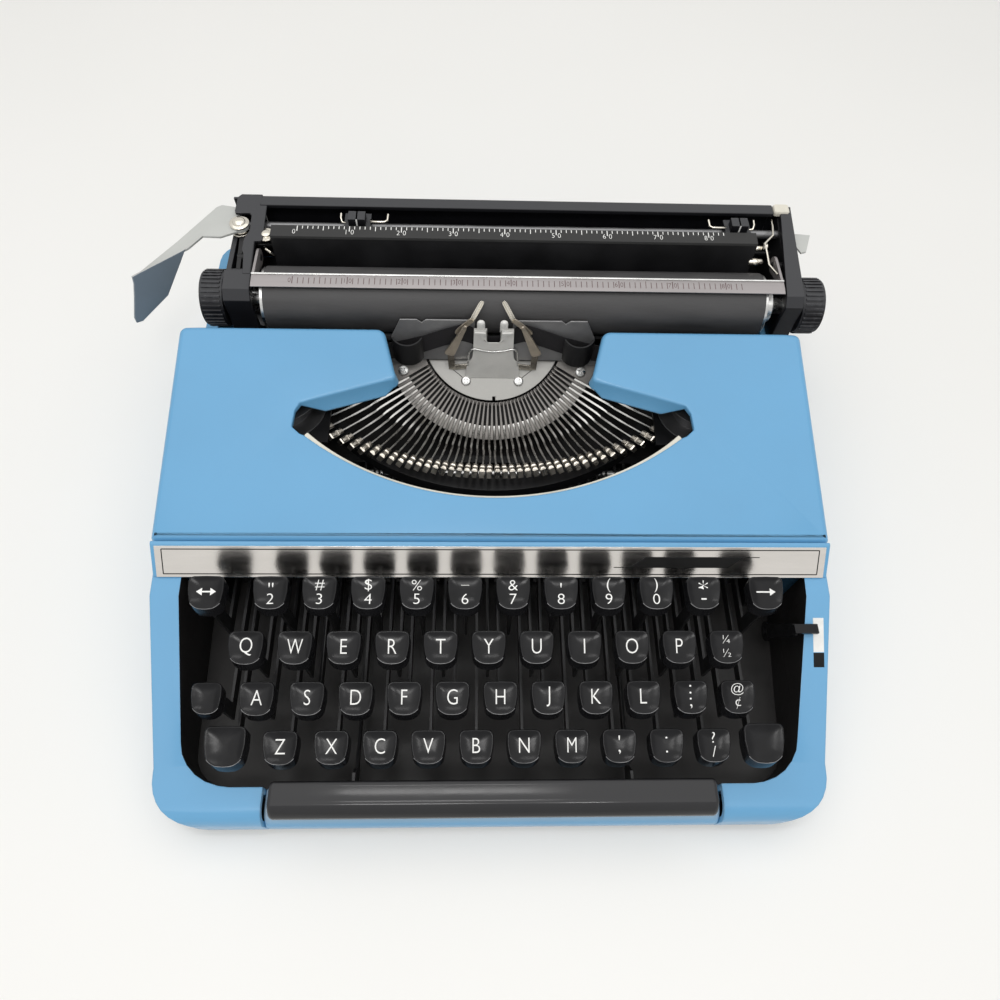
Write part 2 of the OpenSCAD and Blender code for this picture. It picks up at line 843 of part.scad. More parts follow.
// Slotted plate that keeps the levers apart
module key_comb() {
  color(black_steel) framed() difference() {
    block([-side_x + side_t, comb_y, floor_z], [side_x - side_t, comb_y + comb_t, 36]);
    for (x = comb_xs())
      block([x - lever_t / 2 - clear, comb_y - 1, 8], [x + lever_t / 2 + clear, comb_y + 4, 40]);
  }
}

selector_x = well_half_rear - 4.5;
selector_y = 81.6;
selector_z = 18.3;
selector_pin_r = 1.9;

module ribbon_selector() {
  color(dark_plastic) framed() {
    difference() {
      union() {
        rod_x(selector_x, selector_x + lever_t, selector_y, selector_z, 4.5);
        along_x(selector_x, selector_x + lever_t)
          polygon([[selector_y - 3.5, selector_z], [70, 49], [75, 49], [selector_y + 3.5, selector_z]]);
      }
      rod_x(selector_x - 1, selector_x + lever_t + 1, selector_y, selector_z, selector_pin_r + fit);
    }
    block([selector_x, 70.5, 49 - 0.2], [half_w - 7.5, 74.5, 50.4]);
  }
}

// Carriage

module end_outline(inset) {
  polygon([
    [end_front + inset, bed_z], [end_front + inset, 84 - inset], [end_front + 4, 88 - inset],
    [end_rear - 2, end_top - inset], [end_rear - inset, end_top - 2 - inset], [end_rear - inset, bed_z]
  ]);
}

module end_plate(x) {
  difference() {
    along_x(x, x + end_plate_t) polygon([
      [end_front + wall + 0.4, frame_low], [end_front + wall + 0.4, 82], [end_front + 6, 84.4],
      [end_rear - 4, 92], [end_rear - 4, bed_z], [rail_y - 3, bed_z], [rail_y - 4, frame_low]
    ]);
    rod_x(x - 1, x + end_plate_t + 1, platen_y, platen_z, shaft_r + fit);
    for (side = [-1, 1])
      rod_x(x - 1, x + end_plate_t + 1, platen_y + side * roller_dy, platen_z - roller_dz,
            roller_pin_r + fit);
  }
}

module carriage_frame() {
  color(black_steel) framed() {
    end_plate(left_plate_x);
    end_plate(right_plate_x);
    block([left_plate_x, rail_y + 1, bed_z], [right_plate_x + end_plate_t, end_rear - 4, bed_z + bed_t]);
    difference() {
      block([carriage_x - shoe_l / 2, rail_y - 4, chassis_top + 4],
            [carriage_x + shoe_l / 2, rail_y + rail_w + 4, bed_z + bed_t]);
      block([-half_w, rail_y - clear, chassis_top], [half_w, rail_y + rail_w + clear, bed_z]);
    }
    rod_x(left_plate_x, bail_left + 1.5, bail_y, bail_z, bail_pin_r);
    rod_x(bail_right - 1.5, right_plate_x + 1, bail_y, bail_z, bail_pin_r);
    rod_x(left_plate_x + 1, right_plate_x + 1, margin_y, margin_z - 12, 1.5);
    rod_x(right_plate_x + 1, right_end + 3.2, release_y, release_z, release_pin_r);
    translate([lever_pivot_x, lever_pivot_y, 80]) cylinder(h = lever_z + 3.5 - 80, r = lever_pin_r);
    block([left_plate_x, lever_pivot_y - 5, 80], [left_plate_x + 4, lever_pivot_y + 5, 82]);
  }
}

lever_pin_r = 1.5;
release_y = platen_y + 28;
release_z = 68;
release_pin_r = 2;
bail_left = left_end + 13.4;
bail_right = right_end - 10;

module end_hollow(inset) {
  polygon([
    [end_front + inset, bed_z - 7], [end_front + inset, 70], [end_rear - inset, 70],
    [end_rear - inset, bed_z - 7]
  ]);
}

module left_end_cover() {
  inner = left_end + 12.4;
  color(dark_plastic) framed() difference() {
    along_x(left_end, inner) end_outline(0);
    along_x(left_end + wall, inner + 1) difference() {
      end_outline(wall);
      translate([0, 40]) square([end_front + wall, 60]);
    }
    along_x(left_end + wall, inner + 1) end_hollow(wall);
    rod_x(left_end - 1, left_end + wall + 1, platen_y, platen_z, shaft_r + 2);
    block([left_end - 1, lever_pivot_y - 26, 87.5], [inner - wall, lever_pivot_y + 14, 100]);
  }
}

module right_end_cover() {
  inner = right_end - 8.5;
  color(dark_plastic) framed() difference() {
    along_x(inner, right_end) end_outline(0);
    along_x(inner - 1, right_end - wall) end_outline(wall);
    along_x(inner - 1, right_end - wall) end_hollow(wall);
    rod_x(right_end - wall - 1, right_end + 1, platen_y, platen_z, shaft_r + 2);
    rod_x(right_end - wall - 1, right_end + 1, release_y, release_z, release_pin_r + clear);
  }
}

// Back wall of the carriage with its top flange
module carriage_back() {
  color(dark_plastic) framed() along_x(left_end + 12.8, right_end - 8.9) polygon([
    [end_rear - 7, end_top], [end_rear - 1, end_top], [end_rear, end_top - 1], [end_rear, 56],
    [end_rear - wall, 56], [end_rear - wall, end_top - wall], [end_rear - 7, end_top - wall]
  ]);
}

table_y = platen_y + platen_r + 1.3;

module paper_table() {
  color(dark_plastic) framed() along_x(platen_left + 2, platen_left + platen_l - 2) polygon([
    [table_y, bed_z + bed_t], [table_y, 72], [table_y + 3, 93.4], [table_y + 10.5, 93.4],
    [table_y + 10.5, 92.2], [table_y + 4.2, 92.2], [table_y + 1.4, 72], [table_y + 1.4, bed_z + bed_t]
  ]);
}

module margin_scale() {
  color(black_steel) framed() along_x(platen_left + 2, platen_left + platen_l - 2) polygon([
    [table_y + 2.8, 93.5], [table_y + 3.2, 94.7], [table_y + 9.8, 95.2], [table_y + 10.4, 93.5]
  ]);
}

module margin_rail() {
  color(bright_steel) framed() rod_x(left_plate_x + end_plate_t, right_plate_x, margin_y, margin_z, margin_r);
}

module margin_stop(x) {
  difference() {
    union() {
      block([x - stop_w / 2, margin_y - 4.5, margin_z - 4], [x + stop_w / 2, margin_y + 4, margin_z + 5]);
      block([x - 4, margin_y - 4.5, margin_z + 5], [x + 4, margin_y + 1, margin_z + 9]);
    }
    rod_x(x - stop_w, x + stop_w, margin_y, margin_z, margin_r + fit);
  }
}

module left_margin_stop() {
  color(dark_plastic) framed() margin_stop(left_stop_x);
}

module right_margin_stop() {
  color(dark_plastic) framed() margin_stop(right_stop_x);
}

module escapement_rack() {
  x0 = carriage_x - rack_teeth * rack_pitch / 2;
  color(bright_steel) framed() {
    block([x0, rack_y, rack_low + tooth_h], [x0 + rack_teeth * rack_pitch, rack_y + rack_w, bed_z]);
    for (i = [0:rack_teeth - 1]) translate([x0 + (i + 0.5) * rack_pitch, rack_y + rack_w, 0])
      rotate([90, 0, 0]) linear_extrude(rack_w) polygon([
        [-0.55, rack_low + tooth_h + 0.1], [-0.3, rack_low], [0.3, rack_low], [0.55, rack_low + tooth_h + 0.1]
      ]);
  }
}

escape_pin_r = 2;
escape_r = 10;

// Pinion under the rack, with the ratchet wheel on the same shaft
module escapement_wheel() {
  color(bright_steel) framed() {
    rod_y(rack_y - 3.6, body_d - 13, 0, pinion_z, escape_pin_r);
    translate([0, rack_y + rack_w, pinion_z]) rotate([90, 0, 0]) linear_extrude(rack_w) {
      circle(r = pinion_r - tooth_h / 2 - 0.3);
      for (i = [0:pinion_teeth - 1]) rotate(90 + (i + rack_phase) * 360 / pinion_teeth) polygon([
        [pinion_r - 2, -0.6], [pinion_r + 0.3, -0.3], [pinion_r + 0.3, 0.3], [pinion_r - 2, 0.6]
      ]);
    }
    translate([0, rack_y - 2.2, pinion_z]) rotate([90, 0, 0]) linear_extrude(1.2) {
      circle(r = escape_r - 1.6);
      for (i = [0:29]) rotate(i * 12)
        polygon([[escape_r - 2.2, -0.7], [escape_r, 0.5], [escape_r - 2.2, 0.7]]);
    }
  }
}

// Fraction of a tooth by which the pinion is turned, so that its teeth stand between the rack's
rack_phase = -(carriage_x / rack_pitch - floor(carriage_x / rack_pitch));

module mainspring_drum() {
  color(bright_steel) framed() translate([drum_x, drum_y, drum_z]) difference() {
    union() {
      cylinder(h = drum_h, r = drum_r);
      cylinder(h = 1, r = drum_r + 2);
      translate([0, 0, drum_h - 1]) cylinder(h = 1, r = drum_r + 2);
    }
    translate([0, 0, -eps]) cylinder(h = drum_h + 1, r = post_r + fit);
    translate([0, 0, 2]) difference() {
      cylinder(h = drum_h, r = drum_r - 2);
      translate([0, 0, -1]) cylinder(h = drum_h + 2, r = post_r + 3);
    }
  }
}

module platen() {
  color(rubber) framed() difference() {
    rod_x(platen_left, platen_left + platen_l, platen_y, platen_z, platen_r);
    rod_x(platen_left - 1, platen_left + platen_l + 1, platen_y, platen_z, core_r + fit);
  }
}

module platen_shaft() {
  color(bright_steel) framed() {
    rod_x(left_end - knob_w - 1, right_end + knob_w + 1, platen_y, platen_z, shaft_r);
    rod_x(platen_left, platen_left + platen_l, platen_y, platen_z, core_r);
    rod_x(platen_left - 1.4, platen_left - 0.1, platen_y, platen_z, platen_r - 0.6);
    rod_x(platen_left + platen_l + 0.1, platen_left + platen_l + 1.4, platen_y, platen_z, platen_r - 0.6);
    rod_x(platen_left + platen_l + 1, platen_left + platen_l + 6, platen_y, platen_z, core_r + 1);
  }
}

// Ribbed knob on the shaft's end
module knob(x0) {
  difference() {
    union() {
      rod_x(x0, x0 + knob_w, platen_y, platen_z, knob_r - 0.7);
      for (i = [0:35]) translate([x0 + 1, platen_y, platen_z]) rotate([i * 10, 0, 0])
        translate([0, -0.45, 0]) cube([knob_w - 2, 0.9, knob_r]);
    }
    rod_x(x0 - 1, x0 + knob_w + 1, platen_y, platen_z, shaft_r + fit / 2);
  }
}

module left_knob() {
  color(dark_plastic) framed() knob(left_end - knob_w - 1);
}

module right_knob() {
  color(dark_plastic) framed() knob(right_end + 1);
}

module line_space_ratchet() {
  x0 = left_plate_x + end_plate_t + 1.5;
  color(bright_steel) framed() difference() {
    translate([x0, platen_y, platen_z]) rotate([90, 0, 90]) linear_extrude(2) {
      circle(r = 6.8);
      for (i = [0:29]) rotate(i * 12) polygon([[6.4, -0.6], [8, 0], [6.4, 0.5]]);
    }
    rod_x(x0 - 1, x0 + 3, platen_y, platen_z, shaft_r + fit / 2);
  }
}

module feed_roller(side) {
  y = platen_y + side * roller_dy;
  z = platen_z - roller_dz;
  section = platen_l / 4;
  rod_x(left_plate_x - 1, right_plate_x + end_plate_t + 1, y, z, roller_pin_r);
  for (i = [0:2]) {
    x0 = platen_left + section * (0.2 + 1.3 * i);
    rod_x(x0, x0 + section, y, z, roller_r);
  }
}

module feed_roller_front() {
  color(rubber) framed() feed_roller(-1);
}

module feed_roller_rear() {
  color(rubber) framed() feed_roller(1);
}

// Ruled strip over the platen on two short arms
module paper_bail() {
  strip_y = platen_y - 5.5;
  strip_z = platen_z + platen_r + 0.5;
  color(bright_steel) framed() difference() {
    union() {
      along_x(bail_left, bail_right) polygon([
        [strip_y, strip_z], [strip_y, strip_z + 0.9], [strip_y + 6, strip_z + 1.5],
        [strip_y + 6, strip_z + 0.6]
      ]);
      for (x = [bail_left, bail_right - 1.2]) {
        along_x(x, x + 1.2) polygon([
          [strip_y + 1, strip_z + 0.2], [strip_y + 1, strip_z + 0.9], [strip_y + 6, strip_z + 1.5],
          [bail_y, bail_z + 4], [bail_y + 3, bail_z], [bail_y, bail_z - 3]
        ]);
        rod_x(x, x + 1.2, bail_y, bail_z, 4);
      }
    }
    rod_x(bail_left - 1, bail_right + 1, bail_y, bail_z, bail_pin_r + fit);
  }
}

// Return lever: a flat arm on its pivot and a finger plate that hangs from the arm's front edge
fold_tip = [-42.9, -33.7];
fold_turn = 40.4;
finger_lean = 16.7;

module return_lever() {
  hub_r = 4.4;
  arm_t = 1.2;
  color(shell_blue) framed() translate([lever_pivot_x, lever_pivot_y, lever_z]) {
    difference() {
      union() {
        cylinder(h = 2.1, r = hub_r);
        linear_extrude(arm_t) polygon([
          [0, 4], [-3.5, 11.8], [-10.4, 13.1], [-12.8, 11.6], [-27.2, -11.5], [-41.1, -31.8], fold_tip,
          [-21.4, -15.4], [-16.3, -7.7], [-8, -8], [0, -4]
        ]);
      }
      translate([0, 0, -1]) cylinder(h = 5, r = lever_pin_r + fit);
    }
    translate([fold_tip[0], fold_tip[1], arm_t]) rotate([0, 0, fold_turn]) translate([0, 0.7, 0])
      rotate([90 - finger_lean, 0, 0]) linear_extrude(arm_t) polygon([
        [-0.4, 0], [26.5, 0], [21.5, -4.6], [9.3, -15.4], [-6.6, -20.6], [-9.5, -20], [-9.2, -17.5],
        [-4.7, -9.6], [-1.4, -3.4]
      ]);
  }
}

module paper_release_lever() {
  x0 = right_end + clear;
  color(bright_steel) framed() difference() {
    union() {
      along_x(x0, x0 + 1.4) polygon([
        [release_y - 4, release_z - 1], [release_y + 1, 84], [release_y + 9, 86], [release_y + 9, 82],
        [release_y + 4, release_z]
      ]);
      rod_x(x0, x0 + 1.4, release_y, release_z, 4.5);
      block([x0, release_y + 1, 82.4], [x0 + 8, release_y + 9, 84]);
    }
    rod_x(x0 - 1, x0 + 3, release_y, release_z, release_pin_r + fit);
  }
}

lower_case();
front_lip();
front_panel();
nameplate();
bottom_plate();
rubber_feet();
chassis();
carriage_rail();
segment();
segment_plate();
typebars();
type_rest();
card_guide();
key_fulcrum_rod();
key_comb();
machine_screws();
cover_hinge_pins();
ribbon();
ribbon_cover();
left_spool();
right_spool();
ribbon_vibrator();
carriage_frame();
left_end_cover();
right_end_cover();
carriage_back();
paper_table();
margin_scale();
margin_rail();
escapement_rack();
left_margin_stop();
right_margin_stop();
paper_bail();
return_lever();
paper_release_lever();
feed_roller_front();
feed_roller_rear();
platen();
platen_shaft();
left_knob();
right_knob();
line_space_ratchet();
escapement_wheel();
mainspring_drum();
space_bar();
shift_keys();
shift_lock_key();
margin_release_key();
backspace_key();
ribbon_selector();
typebar_h();
key_h();
keys_left_little();
keys_left_ring();
keys_left_middle();
keys_left_index();
keys_right_index();
keys_right_middle();
keys_right_ring();
keys_right_little();
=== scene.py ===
import json
from collections import namedtuple
from math import asin, atan2, cos, dist, pi, radians, sin, sqrt, tan

import bmesh
import bpy
from mathutils import Matrix, Vector


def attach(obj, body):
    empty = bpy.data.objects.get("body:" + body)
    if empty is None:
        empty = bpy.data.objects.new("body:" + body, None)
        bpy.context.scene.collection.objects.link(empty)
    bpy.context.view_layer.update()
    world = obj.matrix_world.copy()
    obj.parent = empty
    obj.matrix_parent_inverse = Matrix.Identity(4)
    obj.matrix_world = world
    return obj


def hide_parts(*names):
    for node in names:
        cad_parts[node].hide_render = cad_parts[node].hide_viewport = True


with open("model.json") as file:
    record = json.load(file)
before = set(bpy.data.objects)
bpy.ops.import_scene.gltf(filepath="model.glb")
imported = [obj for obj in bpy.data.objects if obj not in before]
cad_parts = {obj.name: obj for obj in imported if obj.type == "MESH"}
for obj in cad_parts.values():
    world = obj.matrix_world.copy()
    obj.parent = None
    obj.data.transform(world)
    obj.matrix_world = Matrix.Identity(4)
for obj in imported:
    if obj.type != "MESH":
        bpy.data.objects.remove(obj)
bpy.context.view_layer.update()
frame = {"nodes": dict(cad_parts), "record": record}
nodes = frame["nodes"]
body_of = {n: b for b, names in frame["record"]["behaviour"]["bodies"].items() for n in names}
scene = bpy.context.scene
MM = 0.001
CASE_X, CASE_Y = 5.2, -143


def at(x, y, z):
    """A point of the machine in millimetres, from the case's centre, its front edge and the table."""
    return Vector(((x + CASE_X) * MM, (y + CASE_Y) * MM, z * MM))


def machine_mm(point):
    """Millimetres of the machine from a point of the scene."""
    return point.x / MM - CASE_X, point.y / MM - CASE_Y, point.z / MM


def turns(n):
    """Angles of even steps around a circle."""
    return [2 * pi * k / n for k in range(n)]


def mirror(points):
    """The points on the machine's other side, in reverse order."""
    return [(-p[0], *p[1:]) for p in reversed(points)]


# Camera at the photograph's viewing angle

def set_camera():
    elevation, yaw, roll = (radians(angle) for angle in (62.36, 4.19, 3.99))
    data = bpy.data.cameras.new("camera")
    data.sensor_width = 36
    data.lens = 27.036
    data.clip_start = 0.01
    cam = bpy.data.objects.new("camera", data)
    cam.matrix_world = (Matrix.Translation(at(-8.75, -24.46, 351.76)) @ Matrix.Rotation(-yaw, 4, "Z")
                        @ Matrix.Rotation(pi / 2 - elevation, 4, "X") @ Matrix.Rotation(roll, 4, "Z"))
    scene.collection.objects.link(cam)
    scene.camera = cam


set_camera()


# Materials

# Sockets of a colour mix node: factor, the two colours and the result
MIX_FACTOR, MIX_A, MIX_B, MIX_RESULT = 0, 6, 7, 2
BUMP_DEPTH = 0.0004
MATS = {}


def new_material(name):
    m = bpy.data.materials.new(name)
    m.use_nodes = True
    return m, m.node_tree, next(n for n in m.node_tree.nodes if n.type == "BSDF_PRINCIPLED")


def add(tree, kind, **values):
    """A new shader node with its inputs or settings given by name."""
    node = tree.nodes.new(kind)
    for key, value in values.items():
        if key in node.inputs:
            node.inputs[key].default_value = value
        else:
            setattr(node, key, value)
    return node


def coords(tree, stretch=(1, 1, 1)):
    mapping = add(tree, "ShaderNodeMapping", Scale=stretch)
    tree.links.new(add(tree, "ShaderNodeTexCoord").outputs["Object"], mapping.inputs["Vector"])
    return mapping.outputs["Vector"]


def noise(tree, vector, scale, detail, rough=0.55):
    n = add(tree, "ShaderNodeTexNoise", Scale=scale, Detail=detail, Roughness=rough)
    tree.links.new(vector, n.inputs["Vector"])
    return n.outputs["Fac"]


def two_tones(tree, fac, low, high):
    """Runs from one colour to the other over the middle of a noise."""
    r = add(tree, "ShaderNodeValToRGB")
    for e, position, colour in zip(r.color_ramp.elements, (0.3, 0.7), (low, high)):
        e.position = position
        e.color = (*colour, 1)
    tree.links.new(fac, r.inputs["Fac"])
    return r.outputs["Color"]


def remap(tree, value, lo, hi, from_lo=0.3, from_hi=0.7):
    r = add(tree, "ShaderNodeMapRange",
            **{"From Min": from_lo, "From Max": from_hi, "To Min": lo, "To Max": hi})
    tree.links.new(value, r.inputs["Value"])
    return r.outputs["Result"]


def blend(tree, mask, colours, other):
    """Lays another colour over the colours where the mask is one."""
    mix = add(tree, "ShaderNodeMix", data_type="RGBA")
    tree.links.new(mask, mix.inputs[MIX_FACTOR])
    tree.links.new(colours, mix.inputs[MIX_A])
    mix.inputs[MIX_B].default_value = (*other, 1)
    return mix.outputs[MIX_RESULT]


def lighter(colour, k):
    return tuple(min(1.0, c * k) for c in colour)


def surface(key, name, colour, metal=0.0, rough=0.4, spread=0.08, vary=0.12, scale=70, stretch=(1, 1, 1),
            bump=0.05, grain=900, coat=0.0, coat_rough=0.1, edge=0.0, worn=None, spec=0.5, painted_top_light=None):
    """A finish with uneven colour and gloss, a fine relief and, where asked, worn edges and a lighter colour
    painted on upward faces, which stands for the light falling on their tops.
    """
    m, tree, bsdf = new_material(name)
    link = tree.links.new
    vector = coords(tree, stretch)
    broad = noise(tree, vector, scale, 5.0)
    colours = two_tones(tree, broad, lighter(colour, 1 - vary), lighter(colour, 1 + vary))
    relief = add(tree, "ShaderNodeBump", Strength=bump, Distance=BUMP_DEPTH)
    link(noise(tree, vector, grain, 3.0, 0.6), relief.inputs["Height"])
    # Upward faces blend toward the given colour: painted light on their tops.
    if painted_top_light:
        facing = add(tree, "ShaderNodeSeparateXYZ")
        link(add(tree, "ShaderNodeNewGeometry").outputs["Normal"], facing.inputs["Vector"])
        colours = blend(tree, remap(tree, facing.outputs["Z"], 0.0, 1.0, 0.45, 0.9), colours, painted_top_light)
    if edge:
        rounded = add(tree, "ShaderNodeBevel", samples=6, Radius=edge * MM).outputs["Normal"]
        link(rounded, relief.inputs["Normal"])
    if worn:
        dot = add(tree, "ShaderNodeVectorMath", operation="DOT_PRODUCT")
        link(add(tree, "ShaderNodeNewGeometry").outputs["Normal"], dot.inputs[0])
        link(rounded, dot.inputs[1])
        both = add(tree, "ShaderNodeMath", operation="MULTIPLY")
        link(remap(tree, dot.outputs["Value"], 1.0, 0.0, 0.72, 0.985), both.inputs[0])
        link(remap(tree, noise(tree, vector, 220, 6.0, 0.7), 0.0, 1.0, 0.46, 0.62), both.inputs[1])
        colours = blend(tree, both.outputs[0], colours, worn)
    link(colours, bsdf.inputs["Base Color"])
    link(remap(tree, broad, max(0.02, rough - spread), rough + spread), bsdf.inputs["Roughness"])
    link(relief.outputs["Normal"], bsdf.inputs["Normal"])
    for socket, value in (("Metallic", metal), ("Specular IOR Level", spec), ("Coat Weight", coat),
                          ("Coat Roughness", coat_rough)):
        bsdf.inputs[socket].default_value = value
    MATS[key] = m


BLUE = (0.128, 0.357, 0.597)
ENAMEL = {"grain": 1300, "coat": 0.4, "coat_rough": 0.14, "edge": 0.8, "spec": 0.35}
surface("blue", "blue_enamel", BLUE, spread=0.05, vary=0.035, scale=14, worn=(0.36, 0.55, 0.70), **ENAMEL)
# The front lip's upward faces are painted paler: a painted highlight along its tilted top.
surface("lip", "lip_enamel", BLUE, rough=0.38, spread=0.06, vary=0.05, scale=22, worn=(0.40, 0.56, 0.68),
        painted_top_light=(0.36, 0.475, 0.575), **ENAMEL)
surface("key", "key_plastic", (0.009, 0.009, 0.010), rough=0.20, spread=0.05, vary=0.25, scale=120, bump=0.02,
        grain=1500, spec=0.17)
# The pale rim finish is the caps' moulding line together with a painted highlight along their front edges.
surface("rim", "key_rim_highlight", (0.19, 0.19, 0.195), rough=0.3, vary=0.5, scale=300)
# The space bar's top is painted lighter than its front: painted light.
surface("space", "space_bar_plastic", (0.006, 0.006, 0.007), rough=0.14, spread=0.04, vary=0.3, scale=60,
        bump=0.015, grain=1200, spec=0.32, painted_top_light=(0.026, 0.026, 0.028))
# The charcoal plastic's upward faces are painted lighter than its near-black fronts: painted light.
surface("charcoal", "charcoal_plastic", (0.009, 0.009, 0.011), rough=0.45, spread=0.06, scale=90, bump=0.12,
        grain=1600, edge=0.6, worn=(0.16, 0.16, 0.17), spec=0.16, painted_top_light=(0.060, 0.061, 0.065))
surface("black", "black_lacquer", (0.009, 0.009, 0.010), rough=0.42, spread=0.1, vary=0.35, scale=50,
        bump=0.08, grain=700, edge=0.3, worn=(0.05, 0.05, 0.05), spec=0.35)
surface("floor_pan", "pan_lacquer", (0.011, 0.010, 0.010), rough=0.5, spread=0.12, vary=0.5, scale=35,
        bump=0.15, grain=500, spec=0.35)
surface("lever", "lever_steel", (0.020, 0.020, 0.021), metal=0.5, spread=0.1, vary=0.4, scale=80, bump=0.06,
        edge=0.2, worn=(0.30, 0.29, 0.28))
surface("steel", "bright_steel", (0.60, 0.60, 0.59), metal=1.0, rough=0.30, vary=0.16, scale=90,
        stretch=(1, 1, 6), bump=0.06, grain=1300, edge=0.25)
surface("satin", "satin_steel", (0.20, 0.20, 0.205), metal=0.9, rough=0.42, vary=0.15, scale=80, bump=0.08,
        grain=1500, edge=0.3)
surface("plate", "plate_zinc", (0.40, 0.395, 0.375), metal=0.2, rough=0.42, vary=0.08, scale=150, bump=0.1,
        grain=1500, edge=0.3, worn=(0.75, 0.74, 0.72))
# The type guide has the plate's zinc, painted lighter to make up for the shade on its upright faces.
surface("neck", "guide_zinc_painted_lighter", (0.74, 0.735, 0.71), metal=0.1, rough=0.42, vary=0.06, scale=150, bump=0.08,
        grain=1500, edge=0.2, worn=(0.85, 0.84, 0.82))
surface("card", "card_steel", (0.26, 0.26, 0.265), metal=0.35, spread=0.1, vary=0.25, scale=60, grain=1200,
        edge=0.2, worn=(0.7, 0.69, 0.67))
surface("slot", "slot_shadow", (0.007, 0.006, 0.006), rough=0.7, spread=0.1, vary=0.3, scale=90)
surface("nickel", "nickel", (0.72, 0.68, 0.60), metal=1.0, rough=0.2, vary=0.15, scale=60,
        grain=800, edge=0.2)
surface("brass", "worn_brass", (0.52, 0.46, 0.38), metal=0.85, rough=0.36, spread=0.1, vary=0.22, scale=120,
        bump=0.08, grain=1200, edge=0.2, worn=(0.8, 0.78, 0.74))
surface("type", "type_steel", (0.50, 0.465, 0.41), metal=1.0, rough=0.32, spread=0.12, vary=0.4, scale=190,
        bump=0.2, grain=1400, edge=0.2)
surface("bar", "typebar_steel", (0.58, 0.57, 0.55), metal=1.0, rough=0.30, spread=0.1, vary=0.3, scale=120,
        bump=0.08, grain=1200, edge=0.15)
surface("strip", "silver_strip", (0.74, 0.705, 0.665), metal=1.0, rough=0.17, spread=0.05, vary=0.04,
        scale=25, stretch=(1, 8, 8), bump=0.02, grain=500, edge=0.15)
surface("bail", "bail_silver", (0.31, 0.29, 0.29), metal=0.6, rough=0.45, spread=0.06, vary=0.08, scale=60,
        stretch=(0.3, 4, 4), bump=0.04, edge=0.2)
surface("platen", "platen_rubber", (0.046, 0.045, 0.046), rough=0.58, spread=0.1, vary=0.25, scale=55,
        stretch=(0.6, 3, 3), bump=0.25)
surface("foot", "foot_rubber", (0.022, 0.022, 0.022), rough=0.75, spread=0.1, vary=0.3, scale=120, bump=0.3,
        grain=700, edge=0.6)
surface("scale", "scale_black", (0.010, 0.010, 0.010), rough=0.5, vary=0.3, edge=0.2)
surface("white", "white_mark", (0.84, 0.84, 0.82), rough=0.5, vary=0.06, scale=200, bump=0.02)
surface("mauve", "brown_mark", (0.09, 0.045, 0.045), rough=0.6, vary=0.2, scale=200, bump=0.02)
surface("ink", "black_mark", (0.006, 0.006, 0.006), rough=0.55, vary=0.25, scale=120, bump=0.03, spec=0.2)
surface("cream", "cream_plastic", (0.70, 0.67, 0.58), rough=0.5, vary=0.1, scale=80, bump=0.08)
surface("grey", "pale_grey_paint", (0.50, 0.51, 0.49), spread=0.06, vary=0.06, scale=40, bump=0.04, edge=0.4,
        worn=(0.8, 0.8, 0.78))
# The finger plate's darker slate tone is partly its bluish paint and partly painted shade on its downward
# front.
surface("slate", "lever_paint_and_shade", (0.13, 0.165, 0.20), rough=0.34, spread=0.06, scale=30, bump=0.04, edge=0.5,
        worn=(0.75, 0.76, 0.76))
surface("cloth", "ribbon_cloth", (0.010, 0.009, 0.011), rough=0.85, vary=0.4, scale=400, bump=0.6, grain=2500)
surface("cast", "cast_segment", (0.19, 0.18, 0.17), metal=0.7, rough=0.45, spread=0.1, vary=0.22, scale=80,
        bump=0.12, grain=1100, edge=0.2)

# Finishes of the CAD nodes that show; the key levers have the default
NODE_MATS = {node: mat for mat, names in (
    ("blue", "lower_case front_panel"), ("lip", "front_lip"), ("strip", "nameplate"),
    ("floor_pan", "bottom_plate"), ("foot", "rubber_feet"), ("cast", "segment"), ("plate", "segment_plate"),
    ("card", "card_guide"), ("scale", "margin_scale"), ("key", "ribbon_selector"),
    ("black", "chassis type_rest key_comb carriage_frame paper_table"),
    ("satin", "carriage_rail left_spool right_spool margin_rail paper_release_lever mainspring_drum"),
    ("steel", "key_fulcrum_rod cover_hinge_pins escapement_rack platen_shaft line_space_ratchet"),
    ("steel", "escapement_wheel"), ("charcoal", "left_knob right_knob"),
    ("charcoal", "left_end_cover right_end_cover carriage_back left_margin_stop right_margin_stop"),
    ("platen", "feed_roller_front feed_roller_rear platen")) for node in names.split()}


def shade(mesh, mat, sharp):
    """Gives a mesh its finish and smooth faces, with edges that stay sharp above an angle in degrees."""
    mesh.materials.append(MATS[mat])
    for p in mesh.polygons:
        p.use_smooth = True
    mesh.set_sharp_from_angle(angle=radians(sharp))


for name, obj in nodes.items():
    obj.data.materials.clear()
    shade(obj.data, NODE_MATS.get(name, "lever"), 32)


# Building helpers

def piece(name, bm, mat, node, sharp, replaces=False):
    """A piece from a bmesh, with the body of a CAD node, which it replaces where that is asked."""
    bmesh.ops.recalc_face_normals(bm, faces=bm.faces)
    mesh = bpy.data.meshes.new(name)
    bm.to_mesh(mesh)
    bm.free()
    shade(mesh, mat, sharp)
    obj = bpy.data.objects.new(name, mesh)
    scene.collection.objects.link(obj)
    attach(obj, body_of[node])
    if replaces:
        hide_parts(node)
    return obj


def cad_mesh(node):
    """The mesh of a CAD node with its triangles joined."""
    bm = bmesh.new()
    bm.from_mesh(nodes[node].data)
    bmesh.ops.remove_doubles(bm, verts=bm.verts, dist=2e-6)
    return bm


def rounded_copy(node, width, mat=None, angle=28):
    """A copy of a CAD node with rounded edges, standing for it."""
    bm = cad_mesh(node)
    bmesh.ops.dissolve_limit(bm, angle_limit=radians(1.0), verts=bm.verts, edges=bm.edges)
    obj = piece(node + "_shell", bm, mat or NODE_MATS[node], node, 40, True)
    mod = obj.modifiers.new("edges", "BEVEL")
    mod.width = width * MM
    mod.segments = 3
    mod.limit_method = "ANGLE"
    mod.angle_limit = radians(angle)
    mod.harden_normals = True
    return obj


def face_into(bm, points):
    bm.faces.new([bm.verts.new(p) for p in points])


